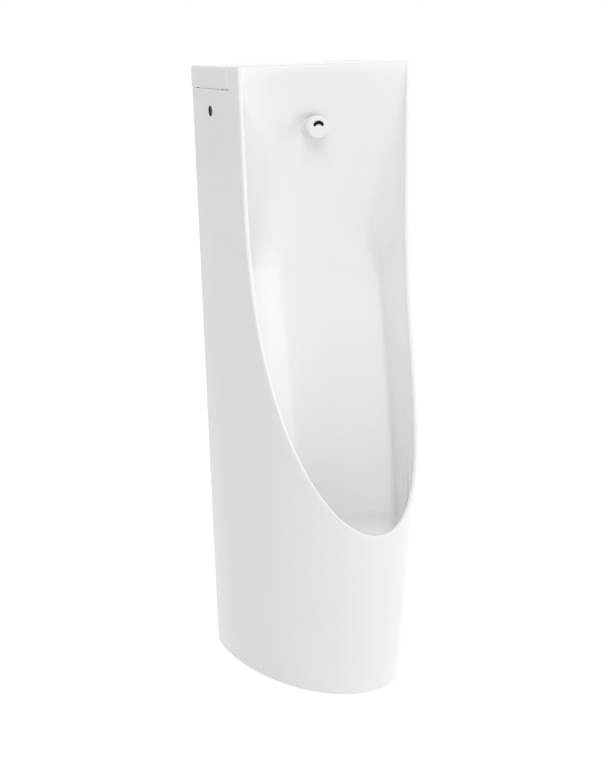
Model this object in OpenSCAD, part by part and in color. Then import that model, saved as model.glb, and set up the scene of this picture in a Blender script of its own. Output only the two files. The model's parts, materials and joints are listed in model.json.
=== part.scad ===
// Floor-standing urinal with a sensor flush, in millimetres.
// X runs to the right, -Y is the front and +Z is up. The floor is z = 0.
// Places are given as a distance d from the wall that the back stands against.

/* [Body] */
// Overall height
height = 1000; // [960:5:1060]
// Width across the top
top_width = 310; // [300:1:330]
// Greatest width at the floor
base_width = 292; // [284:1:320]
// Depth at the floor, from the wall to the front
base_depth = 314; // [310:1:340]
// Depth at the lip of the bowl
lip_depth = 362; // [356:1:384]
// Height of the lip over the floor
lip_height = 283; // [270:1:306]
// Depth of the head, from the wall to the flush front
top_depth = 188; // [184:1:205]
// Distance from the wall to the widest section
bulge_depth = 58; // [50:1:64]
// Thickness of the china
wall = 12; // [10:0.5:13]
// Depth below the top at which the rim starts to swing forward
rim_drop = 200; // [180:5:240]
// Power of the curve by which the rim swings from the head to the lip
rim_power = 2.2; // [2:0.05:2.4]
// Height of the rail across the open back
rail_height = 60; // [40:1:90]

/* [Bowl] */
// Depth below the top at which the back of the bowl lies deepest
hollow_drop = 350; // [330:5:370]
// Distance from the wall to the back of the bowl there, at the centre
hollow_back = 55; // [50:1:60]
// Distance from the wall to the back corners of the bowl there
hollow_corner = 88; // [82:1:96]
// Forward lean of the back of the bowl from there down to the bowl floor
back_lean = 92.8; // [86:1:100]
// Height of the bowl floor at the drain
bowl_floor = 186; // [180:1:190]
// Height over which the bowl floor rounds up into its walls
floor_round = 60; // [50:1:66]
// Distance from the wall to the drain's centre
drain_back = 255; // [250:1:258]

/* [Cover] */
// Distance from the wall to the front edge of the cover
cover_depth = 153; // [148:1:158]
// Height of the cover's skirt
cover_height = 34; // [30:1:38]
// Thickness of the cover's top and skirt
cover_wall = 8; // [6:0.5:9]
// Gap between the cover and the body
cover_seam = 2; // [1.6:0.1:2.4]
// Diameter of the rubber pads under the cover
pad_d = 6.5; // [5:0.5:7]
// Height of the ribs that keep the cover in place
rib_height = 6; // [4:0.5:8]

/* [Spreader] */
// Height of the spreader below the top
spreader_drop = 99; // [94:1:104]
// Distance from the back of the bowl, at the cap's upper edge, to the cap's face
cap_stand = 21.5; // [21:0.5:24]
// Diameter of the cap
cap_d = 37; // [35:0.5:40]
// Length of the cap
cap_length = 14; // [13:0.5:15]
// Wall of the cap
cap_wall = 2.5; // [2:0.1:3]
// Outer diameter of the spreader stem
stem_d = 20; // [18:0.5:21]
// Bore of the stem
stem_bore = 13; // [11:0.5:14]
// Mean radius of the arched sensor window
window_r = 7.8; // [7:0.1:8.4]
// Width of the band of the sensor window
window_w = 6; // [5:0.1:6.6]
// Half the angle that the window covers
window_angle = 67; // [55:1:75]

/* [Valve] */
// Distance of the valve from the centre plane, to the right
valve_x = 42; // [40:0.5:46]
// Distance from the wall to the valve's axis
valve_back = 56; // [54:0.5:58]
// Depth of the valve's ports below the top
valve_drop = 150; // [146:1:156]
// Radius of the valve's chamber
chamber_r = 20; // [18:0.5:21]
// Outer diameter of the inlet thread
inlet_d = 20.96; // [20.9:0.01:21]
// Bore of the water way
water_bore = 12; // [10:0.5:12.5]
// Outer diameter of the supply tube
tube_d = 12; // [11:0.5:12.5]
// Travel of the solenoid plunger
plunger_travel = 2; // [1.5:0.1:2.5]

/* [Controls] */
// Width of the control box
box_w = 84; // [80:1:88]
// Depth of the control box
box_depth = 48; // [46:1:52]
// Height of the control box
box_h = 96; // [92:1:100]
// Wall of the control box
box_wall = 2.5; // [2:0.1:3]
// Diameter of a battery
battery_d = 14.5; // [14:0.1:14.6]
// Length of a battery
battery_l = 50.5; // [50:0.1:51]

/* [Fixing] */
// Thickness of the steel brackets
bracket_t = 3; // [2.5:0.1:3.5]
// Distance from the wall to the side screws
side_screw_back = 80; // [76:1:84]
// Depth of the side screws below the top
side_screw_drop = 70; // [66:1:74]
// Diameter of the recess for a side screw
recess_d = 17.5; // [17:0.5:20]
// Radius of the wall bolt holes
bolt_hole_r = 3.5; // [3:0.1:4]
// Height between the two bolt holes of a bracket
bolt_gap_z = 24; // [22:0.5:26]

/* [Drain] */
// Diameter of the drain hole in the china
drain_hole_d = 92; // [90:0.5:94]
// Outer diameter of the trap cup
cup_d = 88; // [86:0.5:89]
// Wall of the trap cup
cup_wall = 3; // [2.5:0.1:3.5]
// Height of the bottom of the trap cup over the floor
cup_bottom = 30; // [26:1:34]
// Outer diameter of the lift-out trap tube
dip_d = 50; // [46:0.5:52]
// Outer diameter of the outlet pipe
pipe_d = 50; // [48:0.5:51]
// Wall of the outlet pipe
pipe_wall = 2.5; // [2:0.1:3]
// Distance from the wall to the floor outlet
outlet_back = 130; // [126:1:134]
// Diameter of the floor flange
flange_d = 150; // [144:1:160]
// Diameter of the socket that the floor pipe enters
socket_d = 75; // [70:0.5:78]
// Depth of that socket
socket_depth = 14; // [12:0.5:15]

/* [Hidden] */
$fn = 64;

china = [0.96, 0.96, 0.95];
white_plastic = [0.93, 0.93, 0.92];
grey_plastic = [0.55, 0.56, 0.58];
black_plastic = [0.06, 0.06, 0.07];
black_rubber = [0.12, 0.12, 0.12];
steel = [0.72, 0.73, 0.75];
black_steel = [0.1, 0.1, 0.1];
brass = [0.78, 0.62, 0.32];

slit = 0.3;
fit = 0.05;
eps = 0.01;
wall_y = lip_depth / 2;
skirt_z = height - cover_height;
ledge_z = skirt_z - cover_seam;
rim_start = height - rim_drop;
hollow_height = height - hollow_drop;
valve_height = height - valve_drop;
spreader_z = height - spreader_drop;
side_screw_z = height - side_screw_drop;

// Half width of the column at a height
function half_w(z) = (base_width + (top_width - base_width) * z / height) / 2;
// Distance from the wall to the front of the full column at a height
function front(z) = base_depth + (lip_depth - base_depth) * z / lip_height;
function reach(z) = front(z) - bulge_depth;
// Half width of the column at a height and a distance from the wall, inside a skin
function side_x(z, d, skin) =
    (half_w(z) - skin) * sqrt(max(0, 1 - pow((d - bulge_depth) / (reach(z) - skin), 2)));
// Distance from the wall to the rim that cuts the column's front
function rim_d(z) = z > rim_start ? top_depth :
    top_depth + (lip_depth - top_depth) * pow((rim_start - z) / (rim_start - lip_height), rim_power);
// Distance from the wall to the back of the bowl: the centre line and the corners
function rise(z) = max(0, (z - hollow_height) / (height - hollow_height));
function lean(z) = back_lean * max(0, hollow_height - z) / (hollow_height - bowl_floor);
function back_mid(z) = hollow_back + (top_depth + 2 - hollow_back) * pow(rise(z), 2) + lean(z);
function back_side(z) = hollow_corner + (top_depth + 2 - hollow_corner) * pow(rise(z), 1.1) + lean(z);

// Points of the column's section from the right side round the front to the left side
function skin_line(z, skin, d0, n) =
    let (b = reach(z) - skin)
    let (t0 = asin((d0 - bulge_depth) / b))
    [for (i = [0 : n])
        let (t = t0 + (180 - 2 * t0) * i / n)
        [(half_w(z) - skin) * cos(t), wall_y - bulge_depth - b * sin(t), z]];
// Points along one side of the section between two distances from the wall
function side_line(z, skin, d0, d1, n, s) =
    [for (i = [0 : n])
        let (d = d0 + (d1 - d0) * i / n)
        [s * side_x(z, d, skin), wall_y - d, z]];
// Points of the bowl's back from the left corner to the right one, set back by a gap
function back_line(z, skin, gap, n) =
    let (m = back_mid(z) - gap)
    let (c = back_side(z) - gap)
    let (x = side_x(z, c, skin))
    [for (j = [0 : n])
        let (s = -cos(180 * j / n))
        [x * s, wall_y - m - (c - m) * pow(abs(s), 2.2), z]];
function inner(list) = [for (i = [1 : len(list) - 2]) list[i]];
function turned(list) = [for (i = [len(list) - 1 : -1 : 0]) list[i]];

// Closes a stack of rings with the same number of points into a solid
module loft(rings) {
    n = len(rings[0]);
    m = len(rings);
    polyhedron(
        points = [for (r = rings) each r],
        faces = concat(
            [[for (i = [n - 1 : -1 : 0]) i]],
            [[for (i = [0 : n - 1]) (m - 1) * n + i]],
            [for (k = [0 : m - 2]) for (i = [0 : n - 1])
                [k * n + i, k * n + (i + 1) % n, (k + 1) * n + i]],
            [for (k = [0 : m - 2]) for (i = [0 : n - 1])
                [(k + 1) * n + i, k * n + (i + 1) % n, (k + 1) * n + (i + 1) % n]]
        )
    );
}
module at(x, d, z) { translate([x, wall_y - d, z]) children(); }
// Turns +Z towards the front, towards the right, or towards the left
module forward() { rotate([90, 0, 0]) children(); }
module rightward() { rotate([0, 90, 0]) children(); }
module leftward() { rotate([0, -90, 0]) children(); }
module tube(r_out, r_in, h) {
    difference() {
        cylinder(r = r_out, h = h);
        translate([0, 0, -1]) cylinder(r = r_in, h = h + 2);
    }
}
module hex_nut(flats, r_in, h) {
    difference() {
        cylinder(r = flats / 2 / cos(30), h = h, $fn = 6);
        translate([0, 0, -1]) cylinder(r = r_in, h = h + 2);
    }
}
// A round cable along a line of points
module cable(path, r) {
    n = 8;
    m = len(path);
    function dir(i) = let (v = path[min(i + 1, m - 1)] - path[max(i - 1, 0)]) v / norm(v);
    function across(i) = let (c = cross(dir(i), [0.31, 0.17, 0.93])) c / norm(c);
    loft([for (i = [0 : m - 1])
        let (u = across(i))
        let (v = cross(dir(i), u))
        [for (k = [0 : n - 1]) path[i] + r * (cos(-360 * k / n) * u + sin(-360 * k / n) * v)]]);
}

// The china column
column_n = 56;
module column() {
    loft([for (k = [0 : 0.25 : 1]) skin_line(k * height, 0, 0, column_n)]);
}
// Height at which the rim's outer edge crosses the column's line at an angle
function rim_z(t, low, high, n = 40) =
    let (m = (low + high) / 2)
    let (outside = bulge_depth + reach(m) * sin(t) > rim_d(m))
    n == 0 ? m : rim_z(t, outside ? low : m, outside ? m : high, n - 1);
// Everything in front of the rim: flat across the wall at the head, level across it at the lip
rim_steps = 24;
far = front(height) + 50;
function cut_ring(z) =
    let (d = rim_d(z))
    let (swing = max(0, rim_start - z) / (rim_start - lip_height))
    let (d_in = d - wall * swing * (d - bulge_depth) / reach(z))
    let (x = side_x(z, d, 0))
    let (x_in = side_x(z, d_in, wall))
    [[x, wall_y - d, z], [top_width, wall_y - far, z], [-top_width, wall_y - far, z],
        [-x, wall_y - d, z], [-x_in, wall_y - d_in, z], [x_in, wall_y - d_in, z]];
module front_cut() {
    t0 = asin((top_depth - bulge_depth) / reach(rim_start));
    loft(concat(
        [for (i = [rim_steps : -1 : 1])
            cut_ring(rim_z(t0 + (89 - t0) * i / rim_steps, lip_height - 1, rim_start))],
        [cut_ring(rim_start), cut_ring(height + 50)]));
}
// The bowl: a ring at each height, closing to the drain over the rounded floor
bowl_front_n = 22;
bowl_back_n = 20;
bowl_levels = 14;
bowl_mouth = (drain_hole_d / 2 + 14) / side_x(bowl_floor, drain_back, wall);
function bowl_ring(z, k, at_z) =
    let (sides = skin_line(z, wall, back_side(z), bowl_front_n))
    let (across = inner(back_line(z, wall, 0, bowl_back_n)))
    [for (p = concat(sides, across))
        [p[0] * k, (p[1] - wall_y + drain_back) * k + wall_y - drain_back, at_z]];
module bowl() {
    top = bowl_floor + floor_round;
    low = [for (u = [90 : -15 : 15])
        bowl_ring(top, bowl_mouth + (1 - bowl_mouth) * cos(u), bowl_floor + floor_round * (1 - sin(u)))];
    high = [for (i = [0 : bowl_levels])
        let (z = top + (height - top) * i / bowl_levels) bowl_ring(z, 1, z)];
    loft(concat(low, high, [bowl_ring(height, 1, height + 40)]));
}
// The hollow behind the bowl, open to the wall
back_skin = wall * 1.25;
module rear_hollow() {
    low = bowl_floor - wall - 14;
    high = ledge_z + 6;
    skin = wall + 1.5;
    steps = 12;
    loft([for (i = [0 : steps])
        let (z = low + (high - low) * i / steps)
        let (c = back_side(z) - back_skin)
        concat(
            side_line(z, skin, -20, c, 5, 1),
            inner(turned(back_line(z, skin, back_skin, bowl_back_n))),
            turned(side_line(z, skin, -20, c, 5, -1)))]);
}
// The hollow under the bowl, open to the floor and to the wall
module under_hollow() {
    loft([for (z = [-1, bowl_floor - wall]) skin_line(z, wall, -20, 40)]);
}
module rail() {
    w = side_x(hollow_height, 0, 0) * 2 - wall;
    at(-w / 2, 0, hollow_height - 30 - rail_height) translate([0, -wall, 0]) cube([w, wall, rail_height]);
}
boss_r = stem_d / 2 + 6;
cap_face = back_mid(spreader_z + boss_r) + cap_stand;
boss_face = cap_face - cap_length - 7;
boss_l = 38;
notch_r = 4;
// Ribs on the ledge, just inside the skirt of the cover
cover_over = 1;
rib_t = 3.5;
module ledge_ribs() {
    out = cover_wall - cover_over + 1;
    end = cover_depth - cover_seam - cover_wall - 2;
    for (s = [-1, 1]) loft([for (z = [ledge_z - 1, ledge_z + rib_height])
        concat(
            side_line(z, s > 0 ? out : out + rib_t, 0, end, 6, s),
            turned(side_line(z, s > 0 ? out + rib_t : out, 0, end, 6, s)))]);
}
// The column's skins taken together as one solid, before the bores go in
module shell() {
    resize([0, 0, 0]) difference() {
        column();
        front_cut();
        bowl();
        difference() {
            union() {
                rear_hollow();
                under_hollow();
            }
            rail();
        }
        at(-top_width, cover_depth, ledge_z) cube([top_width * 2, cover_depth + 10, cover_height + 20]);
    }
}
module china_body() {
    color(china) difference() {
        union() {
            shell();
            ledge_ribs();
            at(0, boss_face - boss_l, spreader_z) forward() cylinder(r = boss_r, h = boss_l);
        }
        at(0, 20, spreader_z) forward() cylinder(r = stem_d / 2 + slit, h = boss_face);
        at(0, cover_depth, ledge_z - 1) cylinder(r = notch_r, h = cover_height + 10);
        for (s = [-1, 1]) at(s * (half_w(side_screw_z) + 2), side_screw_back, side_screw_z)
            rotate([0, -90 * s, 0]) {
                cylinder(r = recess_d / 2, h = wall / 2 + 2);
                cylinder(r = 5, h = wall + 10);
            }
        at(0, drain_back, -1) cylinder(r = drain_hole_d / 2, h = bowl_floor + 3);
        at(0, drain_back, bowl_floor - seat_depth) cylinder(r = cup_flange_r + slit, h = seat_depth + 2);
    }
}

// The lift-off cover over the flush gear
cover_edge_r = 5;
module cover_block(inset, low, high, d1) {
    edge = min(cover_edge_r, cover_wall);
    rise_steps = inset > 0 ? [0] : [0, 22.5, 45, 67.5, 90];
    tops = [for (u = rise_steps)
        let (drop = inset > 0 ? 0 : edge * (1 - sin(u)))
        let (cut = inset > 0 ? 0 : edge * (1 - cos(u)))
        cover_ring(inset + cut, d1 - cut, high - drop, inset > 0 ? -20 : cut)];
    loft(concat([cover_ring(inset, d1, low, inset > 0 ? -20 : 0)], tops));
}
function cover_ring(inset, d1, z, back) =
    concat(
        side_line(z, inset - cover_over, back, d1, 6, 1),
        turned(side_line(z, inset - cover_over, back, d1, 6, -1)));
module top_cover() {
    color(china) difference() {
        cover_block(0, skirt_z, height, cover_depth - cover_seam);
        cover_block(cover_wall, skirt_z - 1, height - cover_wall, cover_depth - cover_seam - cover_wall);
    }
}
module cover_pads() {
    color(black_rubber) for (s = [-1, 1]) for (d = [24, cover_depth - 26])
        at(s * side_x(ledge_z, d, (cover_wall - cover_over) / 2), d, ledge_z)
            cylinder(r = pad_d / 2, h = cover_seam);
}

// The spreader: a stem through the china, with the sensor in the cap on its front
cap_back = cap_face - cap_length;
flange_t = 2;
plate_t = 3;
seal_t = 2;
stem_front = boss_face + seal_t;
nut_h = 9;
boss_back = boss_face - boss_l;
stem_rear = boss_back - seal_t - nut_h - 10;
conduit_r = 3.6;
module spreader_stem() {
    color(white_plastic) at(0, 0, spreader_z) difference() {
        union() {
            difference() {
                union() {
                    translate([0, -stem_rear, 0]) forward()
                        cylinder(r = stem_d / 2, h = stem_front - stem_rear);
                    translate([0, -stem_front, 0]) forward() cylinder(r = boss_r, h = flange_t);
                    translate([0, -stem_front, 0]) forward()
                        cylinder(r = stem_d / 2 - 1, h = cap_back + plate_t - stem_front);
                }
                translate([0, -stem_rear + 1, 0]) forward()
                    cylinder(r = stem_bore / 2, h = cap_back - stem_rear);
                for (a = [-50, 0, 50]) translate([0, -(stem_front + flange_t + cap_back) / 2, 0])
                    rotate([0, a, 0]) translate([0, 0, -cap_d]) cylinder(r = 1.2, h = cap_d);
            }
            translate([0, -cap_back, 0]) forward() cylinder(r = cap_d / 2 - cap_wall - fit, h = plate_t);
            translate([0, -conduit_end, 0]) forward()
                cylinder(r = conduit_r, h = cap_back - conduit_end + 1);
        }
        translate([0, -conduit_end + 1, 0]) forward() cylinder(r = conduit_r - 1.2, h = cap_back + plate_t);
    }
}
module spreader_seal() {
    color(black_rubber) at(0, boss_face, spreader_z) forward() tube(boss_r - 0.5, stem_d / 2 + fit, seal_t);
}
module stem_washer() {
    color(black_rubber) at(0, boss_back - seal_t, spreader_z) forward()
        tube(boss_r, stem_d / 2 + fit, seal_t);
}
module stem_nut() {
    color(brass) at(0, boss_back - seal_t - nut_h, spreader_z) forward()
        hex_nut(stem_d + 9, stem_d / 2 + fit, nut_h);
}
// The arched window and the recess for it
module arch(grow, h) {
    r_in = window_r - window_w / 2 - grow;
    r_out = window_r + window_w / 2 + grow;
    intersection() {
        tube(r_out, r_in, h);
        union() {
            linear_extrude(height = h) polygon([[0, 0],
                for (a = [-window_angle : window_angle / 4 : window_angle])
                    3 * window_r * [sin(a), cos(a)]]);
            for (s = [-1, 1]) rotate([0, 0, -s * window_angle]) translate([0, window_r, 0])
                cylinder(r = window_w / 2 + grow, h = h);
        }
    }
    for (s = [-1, 1]) rotate([0, 0, -s * window_angle]) translate([0, window_r, 0])
        cylinder(r = window_w / 2 + grow, h = h);
}
module spreader_cap() {
    edge = 4;
    r = cap_d / 2;
    color(white_plastic) at(0, cap_back, spreader_z) forward() difference() {
        rotate_extrude() union() {
            square([r, cap_length - edge]);
            square([r - edge, cap_length]);
            translate([r - edge, cap_length - edge]) circle(r = edge, $fn = 40);
        }
        translate([0, 0, -1]) cylinder(r = r - cap_wall, h = cap_length - cap_wall + 1);
        translate([0, 0, cap_length - cap_wall - 1]) arch(0.05, cap_wall + 2);
    }
}
module sensor_window() {
    color(black_plastic) at(0, cap_face - cap_wall, spreader_z) forward() arch(0, cap_wall + 0.3);
}
board_t = 1.6;
module sensor_board() {
    color([0.1, 0.35, 0.2]) at(0, cap_back + plate_t + 1.5, spreader_z) forward() union() {
        cylinder(r = cap_d / 2 - cap_wall - slit, h = board_t);
        for (s = [-1, 1]) rotate([0, 0, -s * 40]) translate([0, window_r, board_t - 0.2])
            cylinder(r = 2.4, h = cap_length - cap_wall - plate_t - 1.5 - board_t + 0.2 - slit);
        for (s = [-1, 1]) translate([s * 9, -6, -1.5]) cylinder(r = 1.6, h = 1.6);
    }
}

// Water way from the valve to the stem
elbow_r = 13;
elbow_drop = 23;
bend_r = 16;
tube_top = spreader_z - elbow_drop;
port_l = 8;
valve_left = valve_x - chamber_r - 6;
elbow_rear = valve_back - elbow_r + 2;
conduit_end = elbow_rear - 2;
module feed_elbow() {
    ri = stem_bore / 2 - 1;
    color(brass) difference() {
        union() {
            at(0, elbow_rear, spreader_z) forward() cylinder(r = elbow_r, h = stem_rear + 8 - elbow_rear);
            at(0, valve_back, tube_top) cylinder(r = tube_d / 2 + 3, h = elbow_drop);
        }
        at(0, stem_rear, spreader_z) forward() cylinder(r = stem_d / 2 + fit, h = 20);
        at(0, elbow_rear + 3, spreader_z) forward() cylinder(r = ri, h = stem_rear);
        at(0, elbow_rear - 1, spreader_z) forward() cylinder(r = conduit_r + fit, h = 20);
        at(0, valve_back, tube_top + 10) cylinder(r = ri, h = elbow_drop - 10);
        at(0, valve_back, tube_top - 1) cylinder(r = tube_d / 2 + fit, h = 11);
    }
}
module supply_tube() {
    ri = tube_d / 2 - 1;
    drop = tube_top + 10 - valve_height - bend_r;
    color(steel) at(0, valve_back, valve_height) union() {
        translate([0, 0, bend_r]) tube(tube_d / 2, ri, drop);
        translate([bend_r, 0, bend_r]) rotate([90, 0, 0]) rotate([0, 0, 180]) rotate_extrude(angle = 90)
            translate([bend_r, 0]) difference() {
                circle(r = tube_d / 2);
                circle(r = ri);
            }
        translate([bend_r, 0, 0]) rightward() tube(tube_d / 2, ri, valve_left + 4 - bend_r);
    }
}
module tube_nuts() {
    color(brass) at(0, valve_back, tube_top - 9) hex_nut(tube_d + 9, tube_d / 2 + fit, 9);
}

// The solenoid valve
seat_z = valve_height + 12;
rubber_t = 3;
bonnet_h = 9;
coil_z = seat_z + rubber_t + bonnet_h;
coil_h = 36;
core_r = 6;
plunger_r = 4.6;
filter_r = 7;
port_x = valve_x + chamber_r + port_l;
module valve_body() {
    color(brass) at(0, valve_back, valve_height) difference() {
        union() {
            translate([valve_x, 0, -12]) cylinder(r = chamber_r, h = 24);
            translate([valve_left, 0, 0]) rightward()
                cylinder(r = tube_d / 2 + 3.5, h = valve_x - valve_left);
            translate([valve_x, 0, 0]) rightward() cylinder(r = 10.5, h = port_x - valve_x);
        }
        translate([valve_x, 0, 6]) tube(chamber_r - 5, 8, 7);
        translate([valve_x, 0, -2]) cylinder(r = 5, h = 15);
        translate([valve_left - 1, 0, 0]) rightward() cylinder(r = tube_d / 2 + fit, h = 5);
        translate([valve_left, 0, 0]) rightward() cylinder(r = 5, h = valve_x - valve_left);
        translate([valve_x + 11, 0, 0]) rightward() cylinder(r = 5, h = 20);
        translate([valve_x + 11.5, 0, 0]) cylinder(r = 2.5, h = 8);
        translate([port_x - 12, 0, 0]) rightward() cylinder(r = filter_r + fit, h = 13);
        for (a = [45 : 90 : 315]) rotate_at(valve_x, a, chamber_r - 3.2) translate([0, 0, 4])
            cylinder(r = 1.5 + fit, h = 9);
    }
}
module rotate_at(x, a, r) { translate([x + r * cos(a), r * sin(a), 0]) children(); }
module diaphragm() {
    color(black_rubber) at(valve_x, valve_back, seat_z) difference() {
        cylinder(r = chamber_r, h = rubber_t);
        for (a = [45 : 90 : 315]) rotate_at(0, a, chamber_r - 3.2) translate([0, 0, -1])
            cylinder(r = 1.6, h = rubber_t + 2);
    }
}
module valve_bonnet() {
    color(grey_plastic) at(valve_x, valve_back, seat_z + rubber_t) difference() {
        cylinder(r = chamber_r, h = bonnet_h);
        translate([0, 0, 2]) cylinder(r = core_r + fit, h = bonnet_h);
        translate([0, 0, -1]) cylinder(r = 2, h = 4);
        for (a = [45 : 90 : 315]) rotate_at(0, a, chamber_r - 3.2) translate([0, 0, -1])
            cylinder(r = 1.6, h = bonnet_h + 2);
    }
}
module bonnet_screws() {
    color(steel) at(valve_x, valve_back, 0) for (a = [45 : 90 : 315]) rotate_at(0, a, chamber_r - 3.2) {
        difference() {
            translate([0, 0, coil_z]) cylinder(r = 2.6, h = 2.2);
            translate([0, 0, coil_z + 1.2]) cylinder(r = 1.4, h = 2, $fn = 6);
        }
        translate([0, 0, seat_z - 7]) cylinder(r = 1.5, h = coil_z - seat_z + 7);
    }
}
core_bottom = seat_z + rubber_t + 2;
core_top = coil_z + coil_h - 2;
module core_tube() {
    color(steel) at(valve_x, valve_back, core_bottom) difference() {
        cylinder(r = core_r, h = core_top - core_bottom);
        translate([0, 0, -1]) cylinder(r = plunger_r + 0.1, h = bore_top - core_bottom + 1);
    }
}
module solenoid_coil() {
    r = 12.5;
    color(black_plastic) at(valve_x, valve_back, coil_z) difference() {
        union() {
            cylinder(r = r, h = coil_h - 2);
            translate([-r - 5, -6, 10]) cube([10, 12, 14]);
        }
        translate([0, 0, -1]) cylinder(r = core_r + fit, h = coil_h + 2);
    }
}
plunger_z = core_bottom;
bore_top = core_top - 10;
plunger_h = bore_top - plunger_z - plunger_travel - slit;
spring_h = 15;
spring_r = 3;
spring_wire = 0.5;
spring_turns = 7;
spring_z = bore_top - spring_h;
module plunger() {
    color(steel) at(valve_x, valve_back, plunger_z) difference() {
        cylinder(r = plunger_r, h = plunger_h);
        translate([0, 0, spring_z - plunger_z]) cylinder(r = spring_r + spring_wire + slit, h = plunger_h);
    }
}
module plunger_spring() {
    steps = 10;
    span = spring_h - 2 * spring_wire;
    path = [for (i = [0 : spring_turns * steps])
        [spring_r * cos(360 * i / steps), spring_r * sin(360 * i / steps),
         spring_wire + span * i / (spring_turns * steps)]];
    color(steel) at(valve_x, valve_back, spring_z) spring_wire_solid(path);
}
// The spring's wire: a square section wound without a change of direction
module spring_wire_solid(path) {
    loft([for (i = [0 : len(path) - 1])
        let (p = path[i])
        let (u = [p[0], p[1], 0] / spring_r)
        [p - u * spring_wire - [0, 0, spring_wire], p + u * spring_wire - [0, 0, spring_wire],
         p + u * spring_wire + [0, 0, spring_wire], p - u * spring_wire + [0, 0, spring_wire]]]);
}

// The stop valve on the wall side, turned by the slotted spindle from above
stop_r = 15;
stop_x = port_x + 20;
ball_r = 10.5;
stop_top = valve_height + stop_r + 7;
nipple_front = valve_back - stop_r - 6;
module inlet_filter() {
    color(steel) at(port_x - 12, valve_back, valve_height) rightward() difference() {
        cylinder(r = filter_r, h = 12);
        translate([0, 0, -1]) cylinder(r = filter_r - 1, h = 14);
        for (z = [3, 6, 9]) for (a = [0 : 45 : 135])
            translate([0, 0, z]) rotate([0, 0, a]) rotate([90, 0, 0])
                cylinder(r = 1, h = 30, center = true, $fn = 16);
    }
}
module union_nut() {
    color(brass) at(port_x - port_l, valve_back, valve_height) rightward()
        hex_nut(27, 10.5 + fit, port_l + 5);
}
module stop_body() {
    color(brass) at(stop_x, valve_back, valve_height) difference() {
        union() {
            translate([-stop_r, 0, 0]) rightward() cylinder(r = stop_r, h = 2 * stop_r);
            translate([-stop_r - 5, 0, 0]) rightward() cylinder(r = 10.5, h = 6);
            translate([0, valve_back - nipple_front, 0]) forward()
                cylinder(r = 12, h = valve_back - nipple_front);
            cylinder(r = 8, h = stop_r + 4);
        }
        sphere(r = ball_r + slit);
        translate([-stop_r - 6, 0, 0]) rightward() cylinder(r = water_bore / 2, h = stop_r + 6);
        translate([0, valve_back - nipple_front + 1, 0]) forward()
            cylinder(r = water_bore / 2, h = valve_back - nipple_front + 1);
        cylinder(r = 4 + fit, h = stop_r + 6);
    }
}
module stop_gland() {
    color(brass) at(stop_x, valve_back, valve_height + stop_r + 4) hex_nut(16, 4 + fit, 5);
}
module stop_spindle() {
    color(steel) at(stop_x, valve_back, valve_height) difference() {
        union() {
            sphere(r = ball_r);
            cylinder(r = 4, h = stop_r + 15);
            translate([0, 0, stop_r + 9 + slit]) cylinder(r = 6.5, h = 6);
        }
        translate([-ball_r - 1, 0, 0]) rightward() cylinder(r = water_bore / 2 - 1, h = ball_r + 1);
        translate([0, ball_r + 1, 0]) forward() cylinder(r = water_bore / 2 - 1, h = ball_r + 1);
        translate([-7, -0.9, stop_r + 13]) cube([14, 1.8, 4]);
    }
}
nipple_hex = 8;
module inlet_nipple() {
    color(brass) at(stop_x, 0, valve_height) difference() {
        union() {
            forward() cylinder(r = inlet_d / 2, h = nipple_front - nipple_hex);
            translate([0, -nipple_front + nipple_hex, 0]) forward()
                cylinder(r = 15, h = nipple_hex, $fn = 6);
        }
        translate([0, 1, 0]) forward() cylinder(r = water_bore / 2, h = nipple_front + 2);
    }
}

// Steel that carries the flush gear: a plate between two wall brackets, with a shelf for the valve
plate_low = valve_height - 34;
plate_high = side_screw_z - 32;
plate_w = 2 * (half_w(height / 2) - wall) - 12;
sheet = 2;
module service_plate() {
    color(steel) at(0, bracket_t + sheet, 0) difference() {
        translate([-plate_w / 2, 0, plate_low]) cube([plate_w, sheet, plate_high - plate_low]);
        translate([stop_x, sheet + 1, valve_height]) forward() cylinder(r = inlet_d / 2 + 7, h = sheet + 2);
        for (s = [-1, 1]) for (k = [0, 1])
            translate([s * bracket_x, sheet + 1, plate_screw_z(k)]) forward()
                cylinder(r = 2.2, h = sheet + 2);
    }
}
function plate_screw_z(k) = plate_low + 14 + k * 30;
module valve_shelf() {
    back = bracket_t + sheet;
    low = valve_height - 12 - sheet;
    color(steel) {
        at(valve_x - 16, valve_back + 14, low) cube([32, valve_back + 14 - back, sheet]);
        at(valve_x - 16, back + sheet, low - 16) cube([32, sheet, 16]);
    }
}
bracket_x = plate_w / 2 - 12;
arm_x = side_x(plate_low, 0, wall + 1.5) - 1;
leg_w = 28;
bracket_high = ledge_z - 6;
module wall_brackets() {
    color(steel) for (s = [-1, 1]) difference() {
        union() {
            at(s > 0 ? arm_x - leg_w : -arm_x, bracket_t, plate_low)
                cube([leg_w, bracket_t, bracket_high - plate_low]);
            at(s > 0 ? arm_x - bracket_t : -arm_x, side_screw_back + 14, side_screw_z - 14)
                cube([bracket_t, side_screw_back + 14, 28]);
        }
        at(s * arm_x, side_screw_back, side_screw_z) rotate([0, -90 * s, 0])
            translate([0, 0, -1]) cylinder(r = 3 + fit, h = bracket_t + 2);
        for (k = [-1, 1]) at(s * bracket_x, -1, side_screw_z + k * bolt_gap_z / 2)
            forward() cylinder(r = bolt_hole_r, h = bracket_t + 2);
        for (k = [0, 1]) at(s * bracket_x, -1, plate_screw_z(k)) forward()
            cylinder(r = 1.6 + fit, h = bracket_t + 2);
    }
}
module plate_screws() {
    color(steel) for (s = [-1, 1]) for (k = [0, 1]) at(s * bracket_x, 0, plate_screw_z(k)) difference() {
        union() {
            translate([0, -eps, 0]) forward() cylinder(r = 1.6, h = bracket_t + sheet);
            translate([0, -bracket_t - sheet, 0]) forward() cylinder(r = 3.6, h = 2.4);
        }
        translate([0, -bracket_t - sheet - 1.2, 0]) forward() cylinder(r = 1.6, h = 2, $fn = 6);
    }
}
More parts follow.
